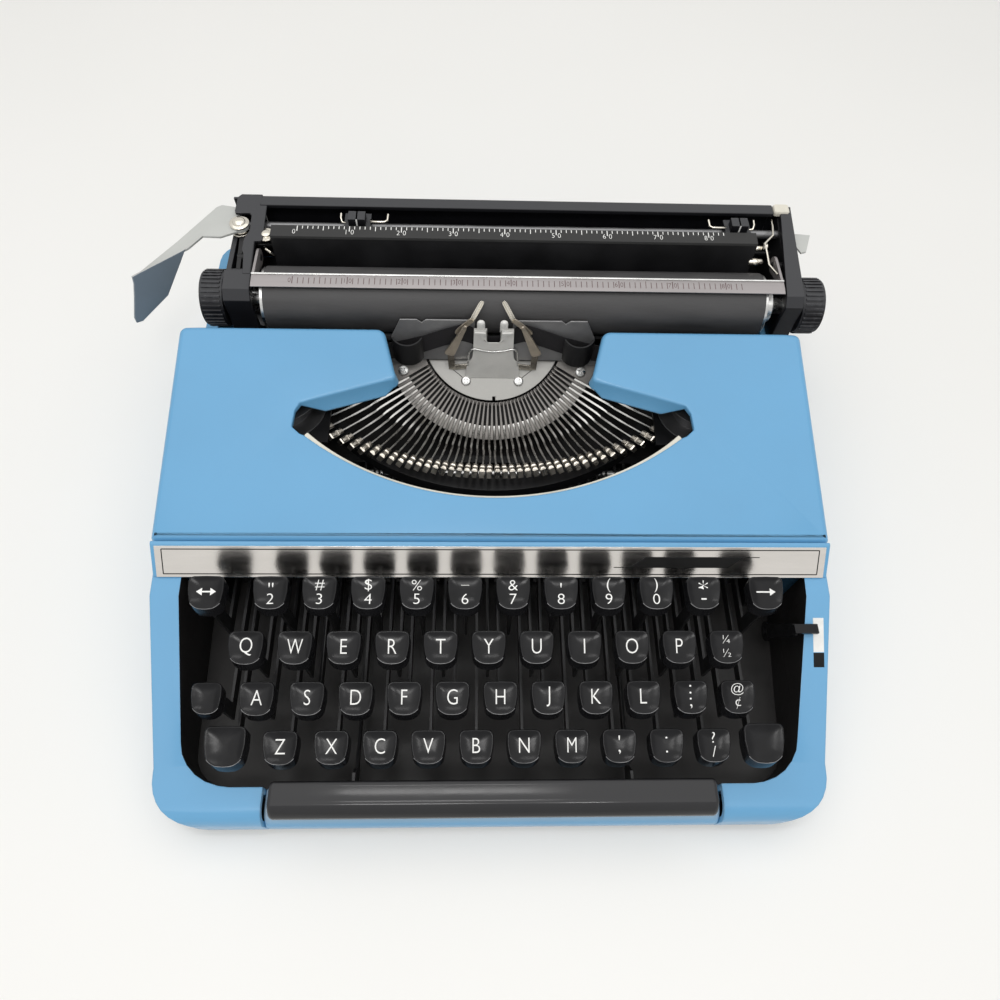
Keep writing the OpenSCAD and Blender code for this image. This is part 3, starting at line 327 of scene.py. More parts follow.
def loft_into(bm, rings, cap_low=True, cap_high=True):
    """Skins a list of rings of points that have the same count."""
    made = [[bm.verts.new(p) for p in ring] for ring in rings]
    n = len(made[0])
    for a, b in zip(made, made[1:]):
        for i in range(n):
            j = (i + 1) % n
            bm.faces.new((a[i], a[j], b[j], b[i]))
    if cap_low:
        bm.faces.new(list(reversed(made[0])))
    if cap_high:
        bm.faces.new(made[-1])
    return made


def lofted(rings):
    bm = bmesh.new()
    loft_into(bm, rings)
    return bm


def along_x(profile, places):
    """Rings of a bar along the machine's width, from its outline in depth and height."""
    return [[at(x, y, z) for y, z in profile] for x in places]


def turned_into(bm, x, y, profile, sides, squash=1.0):
    """A turned piece on an upright axis, from its radii and heights."""
    loft_into(bm, [[at(x + r * cos(a), y + r * squash * sin(a), z) for a in turns(sides)]
                   for r, z in profile])


def tube_into(bm, points, radius, sides):
    """A round wire along points of the scene, with one radius in millimetres or one for each point."""
    radii = radius if isinstance(radius, list) else [radius] * len(points)
    rings = []
    side = None
    for i, (p, r) in enumerate(zip(points, radii)):
        ahead = (points[min(i + 1, len(points) - 1)] - points[max(i - 1, 0)]).normalized()
        if side is None:
            ref = Vector((0, 0, 1)) if abs(ahead.z) < 0.9 else Vector((1, 0, 0))
            side = ahead.cross(ref).normalized()
        else:
            side = (side - ahead * side.dot(ahead)).normalized()
        up = ahead.cross(side)
        rings.append([p + r * MM * (cos(a) * side + sin(a) * up) for a in turns(sides)])
    loft_into(bm, rings)


def wire_into(bm, line, radius, sides=8):
    """A round wire along a line in millimetres of the machine."""
    tube_into(bm, [at(*p) for p in line], radius, sides)


FONT_SIZE, FONT_CAPITAL = 10.0, 7.0


def text_mesh(words, size):
    """Lettering as a flat mesh around the origin, in millimetres: verts and faces."""
    curve = bpy.data.curves.new("letters", "FONT")
    curve.body = words
    curve.size = FONT_SIZE
    curve.resolution_u = 4
    curve.offset = -0.11
    curve.align_x = "CENTER"
    obj = bpy.data.objects.new("letters", curve)
    scene.collection.objects.link(obj)
    bpy.context.view_layer.update()
    mesh = bpy.data.meshes.new_from_object(obj.evaluated_get(bpy.context.evaluated_depsgraph_get()))
    verts = [v.co.copy() for v in mesh.vertices]
    faces = [tuple(p.vertices) for p in mesh.polygons]
    bpy.data.objects.remove(obj)
    bpy.data.curves.remove(curve)
    bpy.data.meshes.remove(mesh)
    k = size / FONT_CAPITAL
    mid_x, mid_y = ((min(v[i] for v in verts) + max(v[i] for v in verts)) / 2 for i in (0, 1))
    return [((v.x - mid_x) * k, (v.y - mid_y) * k) for v in verts], faces


LETTERS = {}


def letters_into(bm, words, size, place):
    """Adds lettering to a bmesh; place maps flat millimetres to a point of the scene."""
    if (words, size) not in LETTERS:
        LETTERS[(words, size)] = text_mesh(words, size)
    verts, faces = LETTERS[(words, size)]
    made = [bm.verts.new(place(u, v)) for u, v in verts]
    for f in faces:
        bm.faces.new([made[i] for i in f])


# Case and carriage shells with rounded edges

WELL_WALL, WELL_FADE, WELL_MOVE = 112, 12, 3.0


def widen_the_well(shell):
    """Moves the two walls of the key well outward, the left one most at its front."""
    for v in shell.data.vertices:
        x, y, _ = machine_mm(v.co)
        back = min(1.0, max(0.0, y - 31.5) / 64.5)
        if WELL_WALL < abs(x) < 128.6 + 6 * back and 12 < y < 99.5:
            move = WELL_MOVE if x > 0 else WELL_MOVE * back - 3.8
            v.co.x += move * MM * min(1.0, (abs(x) - WELL_WALL) / WELL_FADE)


def line_the_well(shell):
    """Blackens the inner walls of the key well, so that only its rim keeps the case's colour; the black
    stands for the dark parts inside the case together with painted shade there.
    """
    well_middle = 60
    shell.data.materials.append(MATS["floor_pan"])
    for face in shell.data.polygons:
        x, y, _ = machine_mm(face.center)
        inward = -x * face.normal.x + (well_middle - y) * face.normal.y
        if abs(x) < 134 and 6 < y < 112 and abs(face.normal.z) < 0.5 and inward > 0:
            face.material_index = 1


def narrow_the_arm(shell):
    """Draws the inner edge of the right end cover outward toward the rear."""
    start, fade, most = 226, 40, 3.4
    for v in shell.data.vertices:
        x, y, _ = machine_mm(v.co)
        if x < 139 and y > start:
            v.co.x += most * MM * min(1.0, (y - start) / fade)


for shell, radius, changes in (
        ("lower_case", 1.6, (widen_the_well, line_the_well)), ("front_lip", 0.8, ()),
        ("front_panel", 0.5, ()), ("left_end_cover", 1.0, ()), ("right_end_cover", 1.0, (narrow_the_arm,)),
        ("carriage_back", 0.7, ())):
    copy = rounded_copy(shell, radius)
    for change in changes:
        change(copy)


# Ribbon cover: a pressed shell with rounded edges and turned-down fronts on its two lobes

HINGE_Y, HINGE_Z, HINGE_R = 111, 59.6, 4
COVER_PITCH = radians(10)
COVER_FOOT, COVER_RIM = 53.15, 2.4
BASKET_END, BASKET_REAR, BASKET_FRONT = 83.5, 153.8, 126
BASKET_R = (BASKET_END ** 2 + (BASKET_REAR - BASKET_FRONT) ** 2) / (2 * (BASKET_REAR - BASKET_FRONT))
BASKET_ANGLE = asin(BASKET_END / BASKET_R)


def cover_top(y):
    return HINGE_Z + HINGE_R / cos(COVER_PITCH) + (y - HINGE_Y) * tan(COVER_PITCH)


def filleted(corners, gap=5.0):
    """Points along corners (x, y, fillet, *values), with arcs for fillets and values that change evenly."""
    points = []
    for i, c in enumerate(corners):
        here, radius = Vector(c[:2]), c[2]
        if radius and 0 < i < len(corners) - 1:
            back, on = Vector(corners[i - 1][:2]) - here, Vector(corners[i + 1][:2]) - here
            half = back.angle(on) / 2
            reach = min(radius / tan(half), 0.45 * back.length, 0.45 * on.length)
            back.normalize()
            on.normalize()
            centre = here + (back + on).normalized() * reach / cos(half)
            first, last = here + back * reach - centre, here + on * reach - centre
            start = atan2(first.y, first.x)
            turn = (atan2(last.y, last.x) - start + pi) % (2 * pi) - pi
            steps = max(3, int(abs(turn) / 0.16))
            for k in range(steps + 1):
                a = start + turn * k / steps
                points.append((centre + first.length * Vector((cos(a), sin(a))), c[3:]))
        else:
            points.append((here, c[3:]))
    dense = [points[0]]
    for (p, a), (q, b) in zip(points, points[1:]):
        steps = max(1, int((q - p).length / gap))
        for k in range(1, steps + 1):
            dense.append((p.lerp(q, k / steps), tuple(x + (y - x) * k / steps for x, y in zip(a, b))))
    return dense


def cover_outline():
    """Plan of the cover with, at each point, its edge's radius, its wall's depth and how far that flares."""
    front_wall, rear_wall = (cover_top(y) - COVER_FOOT for y in (114, 206))
    half = filleted([
        (0, 107, 0, 3.2, 4.2, 0), (144, 107, 3, 3.0, 4.2, 0), (144, 111, 0, 3.0, 5.0, 0),
        (144, 114, 0, 3.0, front_wall, 0), (144, 206.6, 6, 3.0, rear_wall, 0),
        (136, 206.6, 0, 2.6, rear_wall, 0), (134.5, 206.6, 0, 2.6, 8, 0), (50.8, 206.6, 4.5, 2.6, 6, 0),
        (45.4, 186, 12, 2.4, 3.4, 0), (44.2, 181.4, 3.6, 2.0, 5.4, 1.0), (50.5, 179.5, 0, 1.3, 6.6, 3.2),
        (77, 171.8, 0, 1.3, 6.4, 3.2), (86.4, 169.0, 0.6, 0.8, 2.4, 0.2), (88.4, 165.4, 0.6, 0.6, 2.4, 0),
        (89.2, 157.8, 0.8, 0.6, 2.4, 0), (85.6, 154.6, 0.8, 0.7, 2.4, 0)])
    arc_steps = 40
    for k in range(arc_steps + 1):
        a = BASKET_ANGLE * (1 - k / arc_steps)
        half.append((Vector((BASKET_R * sin(a), BASKET_FRONT + BASKET_R * (1 - cos(a)))),
                     (0.8, COVER_RIM, 0)))
    return half + [(Vector((-p.x, p.y)), v) for p, v in reversed(half[1:-1])]


def ribbon_cover():
    line = cover_outline()
    n = len(line)
    out = []
    for i in range(n):
        back = (line[i][0] - line[i - 1][0]).normalized()
        on = (line[(i + 1) % n][0] - line[i][0]).normalized()
        side = Vector((back.y + on.y, -back.x - on.x)).normalized()
        out.append(side / max(0.5, side.dot(Vector((on.y, -on.x)))))

    def ring(place):
        points = []
        for (p, (radius, depth, flare)), side in zip(line, out):
            inset, drop = place(radius, depth, flare)
            q = p - side * inset
            points.append(at(q.x, q.y, cover_top(q.y) - drop))
        return points

    rings = [ring(lambda r, d, f: (2.0, 2.3)), ring(lambda r, d, f: (1.7 - f, max(d, COVER_RIM))),
             ring(lambda r, d, f: (-f, max(d, COVER_RIM)))]
    for k in range(6):
        a = radians(18 * k)
        rings.append(ring(lambda r, d, f: (r * (1 - cos(a)), r * (1 - sin(a)))))
    piece("ribbon_cover_shell", lofted(rings), "blue", "ribbon_cover", 40, True)
    bm = bmesh.new()
    sides = 32
    for s in (-1, 1):
        lug = [[at(s * x, HINGE_Y + r * cos(a), HINGE_Z + r * sin(a)) for a in turns(sides)] for x, r in
               ((130, 1.3), (130, 3.0), (130.4, 3.4), (133.2, 3.4), (133.6, 3.0), (133.6, 1.3))]
        made = loft_into(bm, lug, cap_low=False, cap_high=False)
        for i in range(sides):
            j = (i + 1) % sides
            bm.faces.new((made[0][i], made[0][j], made[-1][j], made[-1][i]))
    piece("cover_lugs", bm, "blue", "ribbon_cover", 30)


ribbon_cover()


# Keys

Cap = namedtuple("Cap", "x y z w d h mark")
CAP_TILT = radians(14.5)
CAP_RIM, CAP_CURVE, CAP_DISH = 0.945, 2.7, 0.85
LEGEND_LIFT, LEGEND_RISE = 0.05, 0.3
KEY_PITCH = 19.05
# The rows, in this order: Q, A, Z and the numbers
ROW_Y = [44.3 + k * KEY_PITCH for k in (0.934, 0, -0.903, 1.937)]
ROW_Z = [50 + k * KEY_PITCH for k in (0.509, 0, -0.488, 1.055)]
ROW_X = [-98, -93.25, -83.7, -88.45]
LEGENDS = [
    list("QWERTYUIOP") + [("¼", "½")],
    list("ASDFGHJKL") + [(":", ";"), ("@", "¢")],
    list("ZXCVBNM") + [("'", ","), (".", "."), ("?", "/")],
    list(zip("\"#$%_&'()*", "234567890-")),
]
MARK_SIZES = {"¼": 3.3, "½": 3.3, "@": 3.6, "¢": 4.0, "*": 6.6, "-": 6.0, "\"": 5.2,
              "'": 5.4, ".": 5.4, ",": 5.4, ":": 5.4, ";": 5.4}


def cap_point(cap, u, v, h):
    """A point of the scene from a cap's own width, depth and height."""
    return at(cap.x + u, cap.y + v * cos(CAP_TILT) - h * sin(CAP_TILT),
              cap.z + v * sin(CAP_TILT) + h * cos(CAP_TILT))


def cap_outline(cap):
    """Plan of a cap: a straight rear edge, sides that draw in toward the front and a bowed front edge."""
    a, b = cap.w / 2, cap.d / 2
    right = [(0, b, 0), (a, 0.97 * b, 2.2), (0.99 * a, 0.1 * b, 9), (0.86 * a, -0.68 * b, 4.2),
             (0.45 * a, -0.98 * b, 5)]
    return [(p.x, p.y) for p, _ in filleted(right + [(0, -1.02 * b, 9)] + mirror(right), 1.5)][:-1]


def dish(k):
    """Height of the dished top at a share of the way from its middle to its outline."""
    return -CAP_DISH * (1 - (min(k, CAP_RIM) / CAP_RIM) ** CAP_CURVE)


def cap_into(bm, cap):
    out = cap_outline(cap)
    skirt = ((0.98, -cap.h, -2.3), (1.03, -cap.h + 0.4, -2.3), (1.03, -cap.h + 1.2, -2.0), (1.02, -2.6, -0.9),
             (1.005, -0.9, -0.15), (1.0, -0.45, 0), (0.985, -0.16, 0), (0.965, -0.04, 0))
    rings = [[cap_point(cap, u * k, v * k + shift, drop) for u, v in out] for k, drop, shift in skirt]
    for k in (CAP_RIM, 0.91, 0.86, 0.79, 0.7, 0.58, 0.44, 0.28, 0.12):
        rings.append([cap_point(cap, u * k, v * k, dish(k)) for u, v in out])
    loft_into(bm, rings)


def rim_into(bm, cap):
    """The moulding line along the front edge of a cap, pale so that it also paints the highlight along that
    rim.
    """
    front = sorted((u, v) for u, v in cap_outline(cap) if v < -0.28 * cap.d)
    tube_into(bm, [cap_point(cap, u * 0.995, v * 0.995, -0.3) for u, v in front], 0.16, 6)


def on_cap(cap):
    """Maps a cap's width and depth to its top, which falls evenly from its rim and keeps soft creases."""
    out = cap_outline(cap)

    def place(u, v):
        k = 0.0
        for (ax, ay), (bx, by) in zip(out, out[1:] + out[:1]):
            cross = ax * by - ay * bx
            if cross:
                k = max(k, (u * (by - ay) - v * (bx - ax)) / cross)
        return cap_point(cap, u, v, dish(k) + LEGEND_LIFT)
    return place


def legend_into(bm, cap):
    if not cap.mark:
        return
    place = on_cap(cap)
    if isinstance(cap.mark, tuple):
        for mark, row in zip(cap.mark, (2.9, -2.5)):
            letters_into(bm, mark, MARK_SIZES.get(mark, 4.3), lambda u, v: place(u * 1.1, v + row))
    else:
        wide = 0.7 if cap.mark in "WM" else 0.8
        letters_into(bm, cap.mark, 6.1, lambda u, v: place(u * wide, v + LEGEND_RISE))


def lever_part(node):
    """The levers of a key node, without its plain caps."""
    bm = cad_mesh(node)
    narrow, wide = 5 * MM, 25 * MM
    seen, drop = set(), []
    for start in bm.verts:
        if start in seen:
            continue
        seen.add(start)
        island = [start]
        for v in island:
            for other in (e.other_vert(v) for e in v.link_edges):
                if other not in seen:
                    seen.add(other)
                    island.append(other)
        width, length = (max(v.co[i] for v in island) - min(v.co[i] for v in island) for i in (0, 1))
        if narrow < width < wide and length < wide:
            drop += island
    bmesh.ops.delete(bm, geom=drop, context="VERTS")
    piece(node + "_levers", bm, "lever", node, 30, True)


def key_group(node, caps):
    lever_part(node)
    for part, mat, build in (("_caps", "key", cap_into), ("_rim_highlights", "rim", rim_into),
                             ("_legends", "white", legend_into)):
        bm = bmesh.new()
        for cap in caps:
            build(bm, cap)
        if bm.verts:
            piece(node + part, bm, mat, node, 50)
        else:
            bm.free()


# Keys of the left column that stand further out, by row and column
OUTWARD = {(1, 0): 0.6, (2, 0): 1.0}
SPREAD = 1.007
H_KEY = (1, 5)


def letter_keys(keys):
    return [Cap((ROW_X[r] + i * KEY_PITCH) * SPREAD - OUTWARD.get((r, i), 0), ROW_Y[r], ROW_Z[r],
                13.7, 12.8, 6.2, LEGENDS[r][i]) for r, i in keys]


key_group("key_h", letter_keys([H_KEY]))
for node, columns, extra in (
        ("keys_left_little", [0], []), ("keys_left_ring", [1], []), ("keys_left_middle", [2], []),
        ("keys_left_index", [3, 4], []), ("keys_right_index", [5, 6], []), ("keys_right_middle", [7], []),
        ("keys_right_ring", [8], []), ("keys_right_little", [9], [(0, 10), (1, 10)])):
    key_group(node, letter_keys([(r, i) for i in columns for r in range(4) if (r, i) != H_KEY] + extra))
MARGIN_CAP, BACK_CAP = (Cap(x, ROW_Y[3], ROW_Z[3], 14, 13, 6.2, None) for x in (-114.2, 109))
key_group("shift_keys", [Cap(x, ROW_Y[2], ROW_Z[2] + 4, 16.2, 15.2, 6.4, None) for x in (-105.8, 107.6)])
key_group("shift_lock_key", [Cap(-113.8, ROW_Y[1], ROW_Z[1] + 1, 11.9, 11.9, 6, None)])
key_group("margin_release_key", [MARGIN_CAP])
key_group("backspace_key", [BACK_CAP])


def arrow(node, cap, double):
    """Arrow legend on a function key."""
    bm = bmesh.new()
    half, head, wide, thick = 3.9, 2.3, 1.5, 0.3
    right, left = half - head, -half + (head if double else 0)
    place = on_cap(cap)
    shaft = ((left, -thick), (0, -thick), (right, -thick), (right, thick), (0, thick), (left, thick))
    face_into(bm, [place(u, v + LEGEND_RISE) for u, v in shaft])
    for s in ((1, -1) if double else (1,)):
        face_into(bm, [place(s * u, v + LEGEND_RISE) for u, v in ((right, -wide), (half, 0), (right, wide))])
    piece(node + "_legends", bm, "white", node, 50)


arrow("margin_release_key", MARGIN_CAP, True)
arrow("backspace_key", BACK_CAP, False)


# Space bar

def space_bar():
    half, arm_top = 179.4 / 2, 26.45
    profile = [(2.2, 26.6), (1.7, 28.0), (2.1, 29.6), (3.2, 31.2), (4.8, 32.8), (6.0, 33.7), (6.9, 34.0),
               (8.2, 33.85), (11, 33.7), (13.4, 33.85), (14.7, 33.9), (15.4, 33.3), (15.6, 32.2), (15.4, 29),
               (14.6, 27.2), (12, 26.6)]
    mid_y, mid_z = 8.8, 30.2
    left = [(-half + inset, k) for inset, k in ((0, 0.72), (0.25, 0.86), (0.9, 0.96), (1.9, 1.0), (60, 1.0))]
    rings = [[at(x, mid_y + (y - mid_y) * k, mid_z + (z - mid_z) * k) for y, z in profile]
             for x, k in left + [(0, 1.0)] + mirror(left)]
    piece("space_bar_cap", lofted(rings), "space", "space_bar", 60)
    bm = cad_mesh("space_bar")
    bmesh.ops.delete(bm, geom=[v for v in bm.verts if v.co.z > arm_top * MM], context="VERTS")
    piece("space_bar_arms", bm, "lever", "space_bar", 30, True)


space_bar()


# Paper bail and scales

SCALE_END, MARK_LIFT = 83, 0.03
BAIL_Y, BAIL_Z, BAIL_R = 243, 86.5, 4


def ruled_scale(name, mat, node, x0, x1, y0, y1, z, slope, digits_y, digit_size, tick, lengths, from_front):
    """Ticks for every character, with their lengths at ones, fives and tens, and a number at each ten."""
    bm = bmesh.new()
    xs = [x0 + (x1 - x0) * i / SCALE_END for i in range(SCALE_END + 1)]

    def place(x, y):
        return at(x, y, z + (y - y0) * slope + MARK_LIFT)

    for i, x in enumerate(xs):
        length = (y1 - y0) * lengths[2 if i % 10 == 0 else 1 if i % 5 == 0 else 0]
        a, b = (y0, y0 + length) if from_front else (y1 - length, y1)
        w = tick * (1.25 if i % 10 == 0 else 1.0) / 2
        face_into(bm, [place(x + u, v) for u, v in ((-w, a), (w, a), (w, b), (-w, b))])
    for i, x in list(enumerate(xs))[::10]:
        for digit, side in zip(str(i), (-1, 1)):
            mid = x + side * digit_size * 0.52
            letters_into(bm, digit, digit_size, lambda u, v: place(mid + u * 0.85, digits_y + v))
    piece(name, bm, mat, node, 60)


def paper_bail():
    """The bail: a strip along the platen with a bright turned-up rear edge, on two arms."""
    width = [machine_mm(v.co)[0] for v in nodes["paper_bail"].data.vertices]
    x0, x1, thick = min(width), max(width), 1.2
    strip = [(221.7, 89.5), (221.7, 89.9), (223.2, 90.37), (228.2, 90.87), (228.5, 90.3), (223.4, 89.8)]
    bm = lofted(along_x(strip, (x0, x0 + 40, x1 - 40, x1)))
    arm = [(223.4, 89.8), (223.4, 90.38), (229.5, 91.0)]
    arm += [(BAIL_Y + BAIL_R * sin(a), BAIL_Z + BAIL_R * cos(a))
            for a in [pi * k / 12 for k in range(13)] + [pi + 0.6]]
    for x in (x0, x1 - thick):
        loft_into(bm, along_x(arm, (x, x + thick)))
    piece("paper_bail_strip", bm, "bail", "paper_bail", 30, True)
    lip = [(227.9, 90.8), (227.9, 91.4), (228.1, 91.55), (228.6, 91.55), (228.7, 91.4), (228.7, 90.5)]
    piece("paper_bail_edge", lofted(along_x(lip, (x0, x1))), "steel", "paper_bail", 40)


paper_bail()
ruled_scale("bail_marks", "mauve", "paper_bail", x0=-92.8, x1=115.7, y0=223.3, y1=227.2, z=90.38, slope=0.1,
            digits_y=225.2, digit_size=2.5, tick=0.3, lengths=(0.85, 1.0, 1.0), from_front=True)
ruled_scale("margin_marks", "white", "margin_scale", x0=-92.7, x1=110.0, y0=251.7, y1=254.8, z=94.95,
            slope=0.5 / 6.6, digits_y=251.4, digit_size=2.8, tick=0.36, lengths=(0.55, 0.85, 1.0),
            from_front=False)


# Ribbon between the spools

def ribbon():
    half_thick, half_wide = 0.1, 6
    line = [(-100, 197.4, 57), (-60, 209.7, 57), (-47, 210.6, 59.6), (-34, 211.2, 63.4), (-24, 211.6, 67.8),
            (-15, 211.74, 71.4), (-10.5, 211.76, 69.6), (-4.5, 211.76, 63), (0, 211.76, 62.6)]
    line += mirror(line[:-1])
    rings = [[at(x, y + t * half_thick, z + w * half_wide) for t, w in ((-1, -1), (1, -1), (1, 1), (-1, 1))]
             for x, y, z in line]
    obj = piece("ribbon_band", lofted(rings), "cloth", "ribbon", 60, True)
    total = sum(dist(a, b) for a, b in zip(line, line[1:]))


ribbon()


# Name strip: a thin outline and a plain slanted bar

STRIP_Y, STRIP_Z = 94, 53
STRIP_ANGLE = atan2(10.0, 11.0)


def strip_point(x, s, n):
    """A point of the scene from the strip's own width, slope and height."""
    return at(x, STRIP_Y + s * cos(STRIP_ANGLE) - n * sin(STRIP_ANGLE),
              STRIP_Z + s * sin(STRIP_ANGLE) + n * cos(STRIP_ANGLE))


def strip_marks():
    bm = bmesh.new()
    top, low, half, line, up = 12.9, 2.0, 138.6, 0.22, 0.63
    for x0, x1, s0, s1 in ((-half, half, low - line, low + line), (-half, half, top - line, top + line),
                           (-half - line, -half + line, low, top), (half - line, half + line, low, top),
                           (50.6, 57.5, 5.0, 5.35), (106, 113, 9.55, 9.9)):
        face_into(bm, [strip_point(x, s, up) for x, s in ((x0, s0), (x1, s0), (x1, s1), (x0, s1))])
    bar = [(57, 5.0), (99.5, 5.0), (106.5, 9.9), (64, 9.9)]
    raised = [strip_point(x + (0.3 if i in (0, 3) else -0.3), s + (0.2 if i < 2 else -0.2), up + 0.12)
              for i, (x, s) in enumerate(bar)]
    loft_into(bm, [[strip_point(x, s, up) for x, s in bar], raised], cap_low=False)
    piece("name_strip_marks", bm, "ink", "nameplate", 30)


strip_marks()


# Type basket

BARS, BAR_LENGTH, PIVOT_R = 42, 50, 42
LIVE_BAR = BARS // 2
PRINT_Y, PRINT_Z = 213, 75
FAN_TILT = radians(37)
FAN_H = sqrt(BAR_LENGTH ** 2 - PIVOT_R ** 2)
FAN_Y = PRINT_Y + FAN_H * sin(FAN_TILT)
FAN_Z = PRINT_Z - FAN_H * cos(FAN_TILT)
TYPE_ROW_R, TYPE_ROW_FRONT, TYPE_ROW_Z = 139.8, 152.4, 43.4


def fan_mm(u, v, w):
    """A point in machine millimetres from the segment's own right, rear and up."""
    return Vector((u, FAN_Y + v * cos(FAN_TILT) - w * sin(FAN_TILT),
                   FAN_Z + v * sin(FAN_TILT) + w * cos(FAN_TILT)))


def fan(u, v, w):
    return at(*fan_mm(u, v, w))


def bar_line(i):
    """Middle line of a resting typebar, out of its slot, past a step and a bend and on to its slug."""
    j = i - (BARS - 1) / 2
    phi = radians(j * 120 / (BARS - 1))
    row = (3.45 * j + 0.00217 * j ** 3) / TYPE_ROW_R
    seat = Vector((TYPE_ROW_R * sin(row), TYPE_ROW_FRONT + TYPE_ROW_R * (1 - cos(row)), TYPE_ROW_Z))
    sag = fan_mm(0, 0, -1) - fan_mm(0, 0, 0)
    side = (fan_mm(cos(phi), sin(phi), 0) - fan_mm(0, 0, 0)) * (1 if j < 0 else -1)
    line = [(fan_mm(s * sin(phi), -s * cos(phi), w), high, 0.5)
            for s, w, high in ((38.8, -2.8, 1.2), (42, -2.4, 1.6), (49.6, -1.2, 1.5), (54.5, 2.4, 1.5))]
    leave = line[-1][0]
    for k, drop, shift, high, thick in (
            (0.22, 1.5, 0, 1.3, 0.5), (0.40, 2.2, 0, 1.3, 0.5), (0.45, 2.5, 0.1, 0.8, 0.42),
            (0.49, 2.5, 0.35, 0.8, 0.42), (0.53, 2.3, 0.4, 1.1, 0.45), (0.68, 2.1, 0.4, 1.0, 0.45),
            (0.78, 1.4, 0.3, 0.8, 0.34), (1.0, 0, 0, 0.8, 0.34)):
        line.append((leave.lerp(seat, k) + sag * drop + side * shift, high, thick))
    return line, side


def bar_into(bm, i):
    line, side = bar_line(i)
    rings = []
    for k, (p, high, thick) in enumerate(line):
        ahead = (line[min(k + 1, len(line) - 1)][0] - line[max(k - 1, 0)][0]).normalized()
        up = side.cross(ahead).normalized() * high
        t = side * thick
        rings.append([at(*q) for q in (p - up - t, p - up + t, p + up + t, p + up - t)])
    made = loft_into(bm, rings)
    # The part inside the segment's slots takes the dark slot finish: painted shade.
    for v in made[0] + made[1]:
        for face in v.link_faces:
            face.material_index = 1


def slug_into(bm, i):
    """A type slug: a saddle block with two raised faces."""
    line, side = bar_line(i)
    seat = line[-1][0]
    ahead = (seat - line[-2][0]).normalized()
    up = side.cross(ahead).normalized()
    up = up if up.z > 0 else -up

    def point(a, b, t):
        return at(*(seat + ahead * a + up * b + side * t))

    loft_into(bm, [[point(a, b0, -t0), point(a, b0, t0), point(a, b1, t1), point(a, b1, -t1)]
                   for a, b0, b1, t0, t1 in (
                       (-0.9, -1.0, 1.2, 0.8, 0.9), (-0.4, -1.4, 2.2, 1.15, 1.3), (1.0, -1.5, 2.7, 1.25, 1.4),
                       (6.6, -1.3, 2.7, 1.25, 1.4), (7.1, -1.0, 2.4, 1.1, 1.25))])
    for start, end in ((-0.2, 2.8), (3.7, 6.6)):
        loft_into(bm, [[point(a0, b, -t), point(a0, b, t), point(a1, b, t), point(a1, b, -t)]
                       for a0, a1, b, t in ((start, end, 2.62, 1.25), (start + 0.5, end - 0.5, 3.3, 0.7))],
                  cap_low=False)


def bars_piece(node, which):
    bm = bmesh.new()
    for i in which:
        bar_into(bm, i)
    bars = piece(node + "_bars", bm, "bar", node, 30, True)
    bars.data.materials.append(MATS["slot"])
    bm = bmesh.new()
    for i in which:
        slug_into(bm, i)
    piece(node + "_slugs", bm, "type", node, 25)


bars_piece("typebars", [i for i in range(BARS) if i != LIVE_BAR])
bars_piece("typebar_h", [LIVE_BAR])


def screw_into(bm, place, axis, radius, height):
    """A domed screw head with a cross recess."""
    axis = Vector(axis).normalized()
    side = axis.orthogonal().normalized()
    up = axis.cross(side)

    def p(u, v, h):
        return place + (u * side + v * up) * MM + axis * h * MM

    n = 28
    dome = ((1.0, 0.0), (1.0, height * 0.45), (0.93, height * 0.75), (0.8, height * 0.92), (0.66, height))
    made = loft_into(bm, [[p(radius * k * cos(a), radius * k * sin(a), h) for a in turns(n)]
                          for k, h in dome], cap_high=False)
    a, b = radius * 0.13, radius * 0.5
    cross = [(b, -a), (b, a), (a, a), (a, b), (-a, b), (-a, a),
             (-b, a), (-b, -a), (-a, -a), (-a, -b), (a, -b), (a, -a)]
    upper = [bm.verts.new(p(u, v, height)) for u, v in cross]
    lower = [bm.verts.new(p(u * 0.8, v * 0.8, height * 0.35)) for u, v in cross]
    m = len(cross)
    edges = [bm.edges.new((upper[i], upper[(i + 1) % m])) for i in range(m)]
    rim = [bm.edges.get((made[-1][i], made[-1][(i + 1) % n])) for i in range(n)]
    bmesh.ops.triangle_fill(bm, edges=edges + rim, use_beauty=True)
    for i in range(m):
        j = (i + 1) % m
        bm.faces.new((upper[i], upper[j], lower[j], lower[i]))
    bm.faces.new(lower)


def basket_screws():
    bm = bmesh.new()
    axis = fan(0, 0, 1) - fan(0, 0, 0)
    for s in (-1, 1):
        screw_into(bm, fan(s * 45, -21, 3.0), axis, 2.7, 1.4)
        screw_into(bm, fan(s * 13.4, -26, 2.0), axis, 2.5, 1.3)
    piece("basket_screws", bm, "steel", "machine_screws", 30, True)


basket_screws()


def plate_lines():
    """Engraved lines from the screws of the segment plate to its upper edge, and the wire across its neck."""
    plate_top = 2.02
    bm = bmesh.new()
    for s in (-1, 1):
        tube_into(bm, [fan(s * u, v, plate_top) for u, v in ((15.2, -24.2), (20.6, -19.9), (21.6, -18.7),
                                                             (21.2, -17.6), (20.2, -16.6))], 0.17, 6)
    piece("plate_lines", bm, "ink", "segment_plate", 60)
    bm = bmesh.new()
    left = [(-12.4, 207.6, 52), (-12.2, 207.6, 55), (-11.6, 207.4, 62.4), (-10.6, 207.4, 64.4),
            (-9.0, 207.4, 64.8), (-5, 207.4, 63.4)]
    wire_into(bm, left + [(0, 207.4, 62.6)] + mirror(left), 0.4)
    piece("neck_wire", bm, "steel", "segment_plate", 60)


plate_lines()

FLAT = ((-1, 0), (1, 0), (1, 1), (-1, 1))
CHANNEL = ((-1, 0), (1, 0), (1, 1), (0.55, 1), (0.5, 0.45), (-0.5, 0.45), (-0.55, 1), (-1, 1))


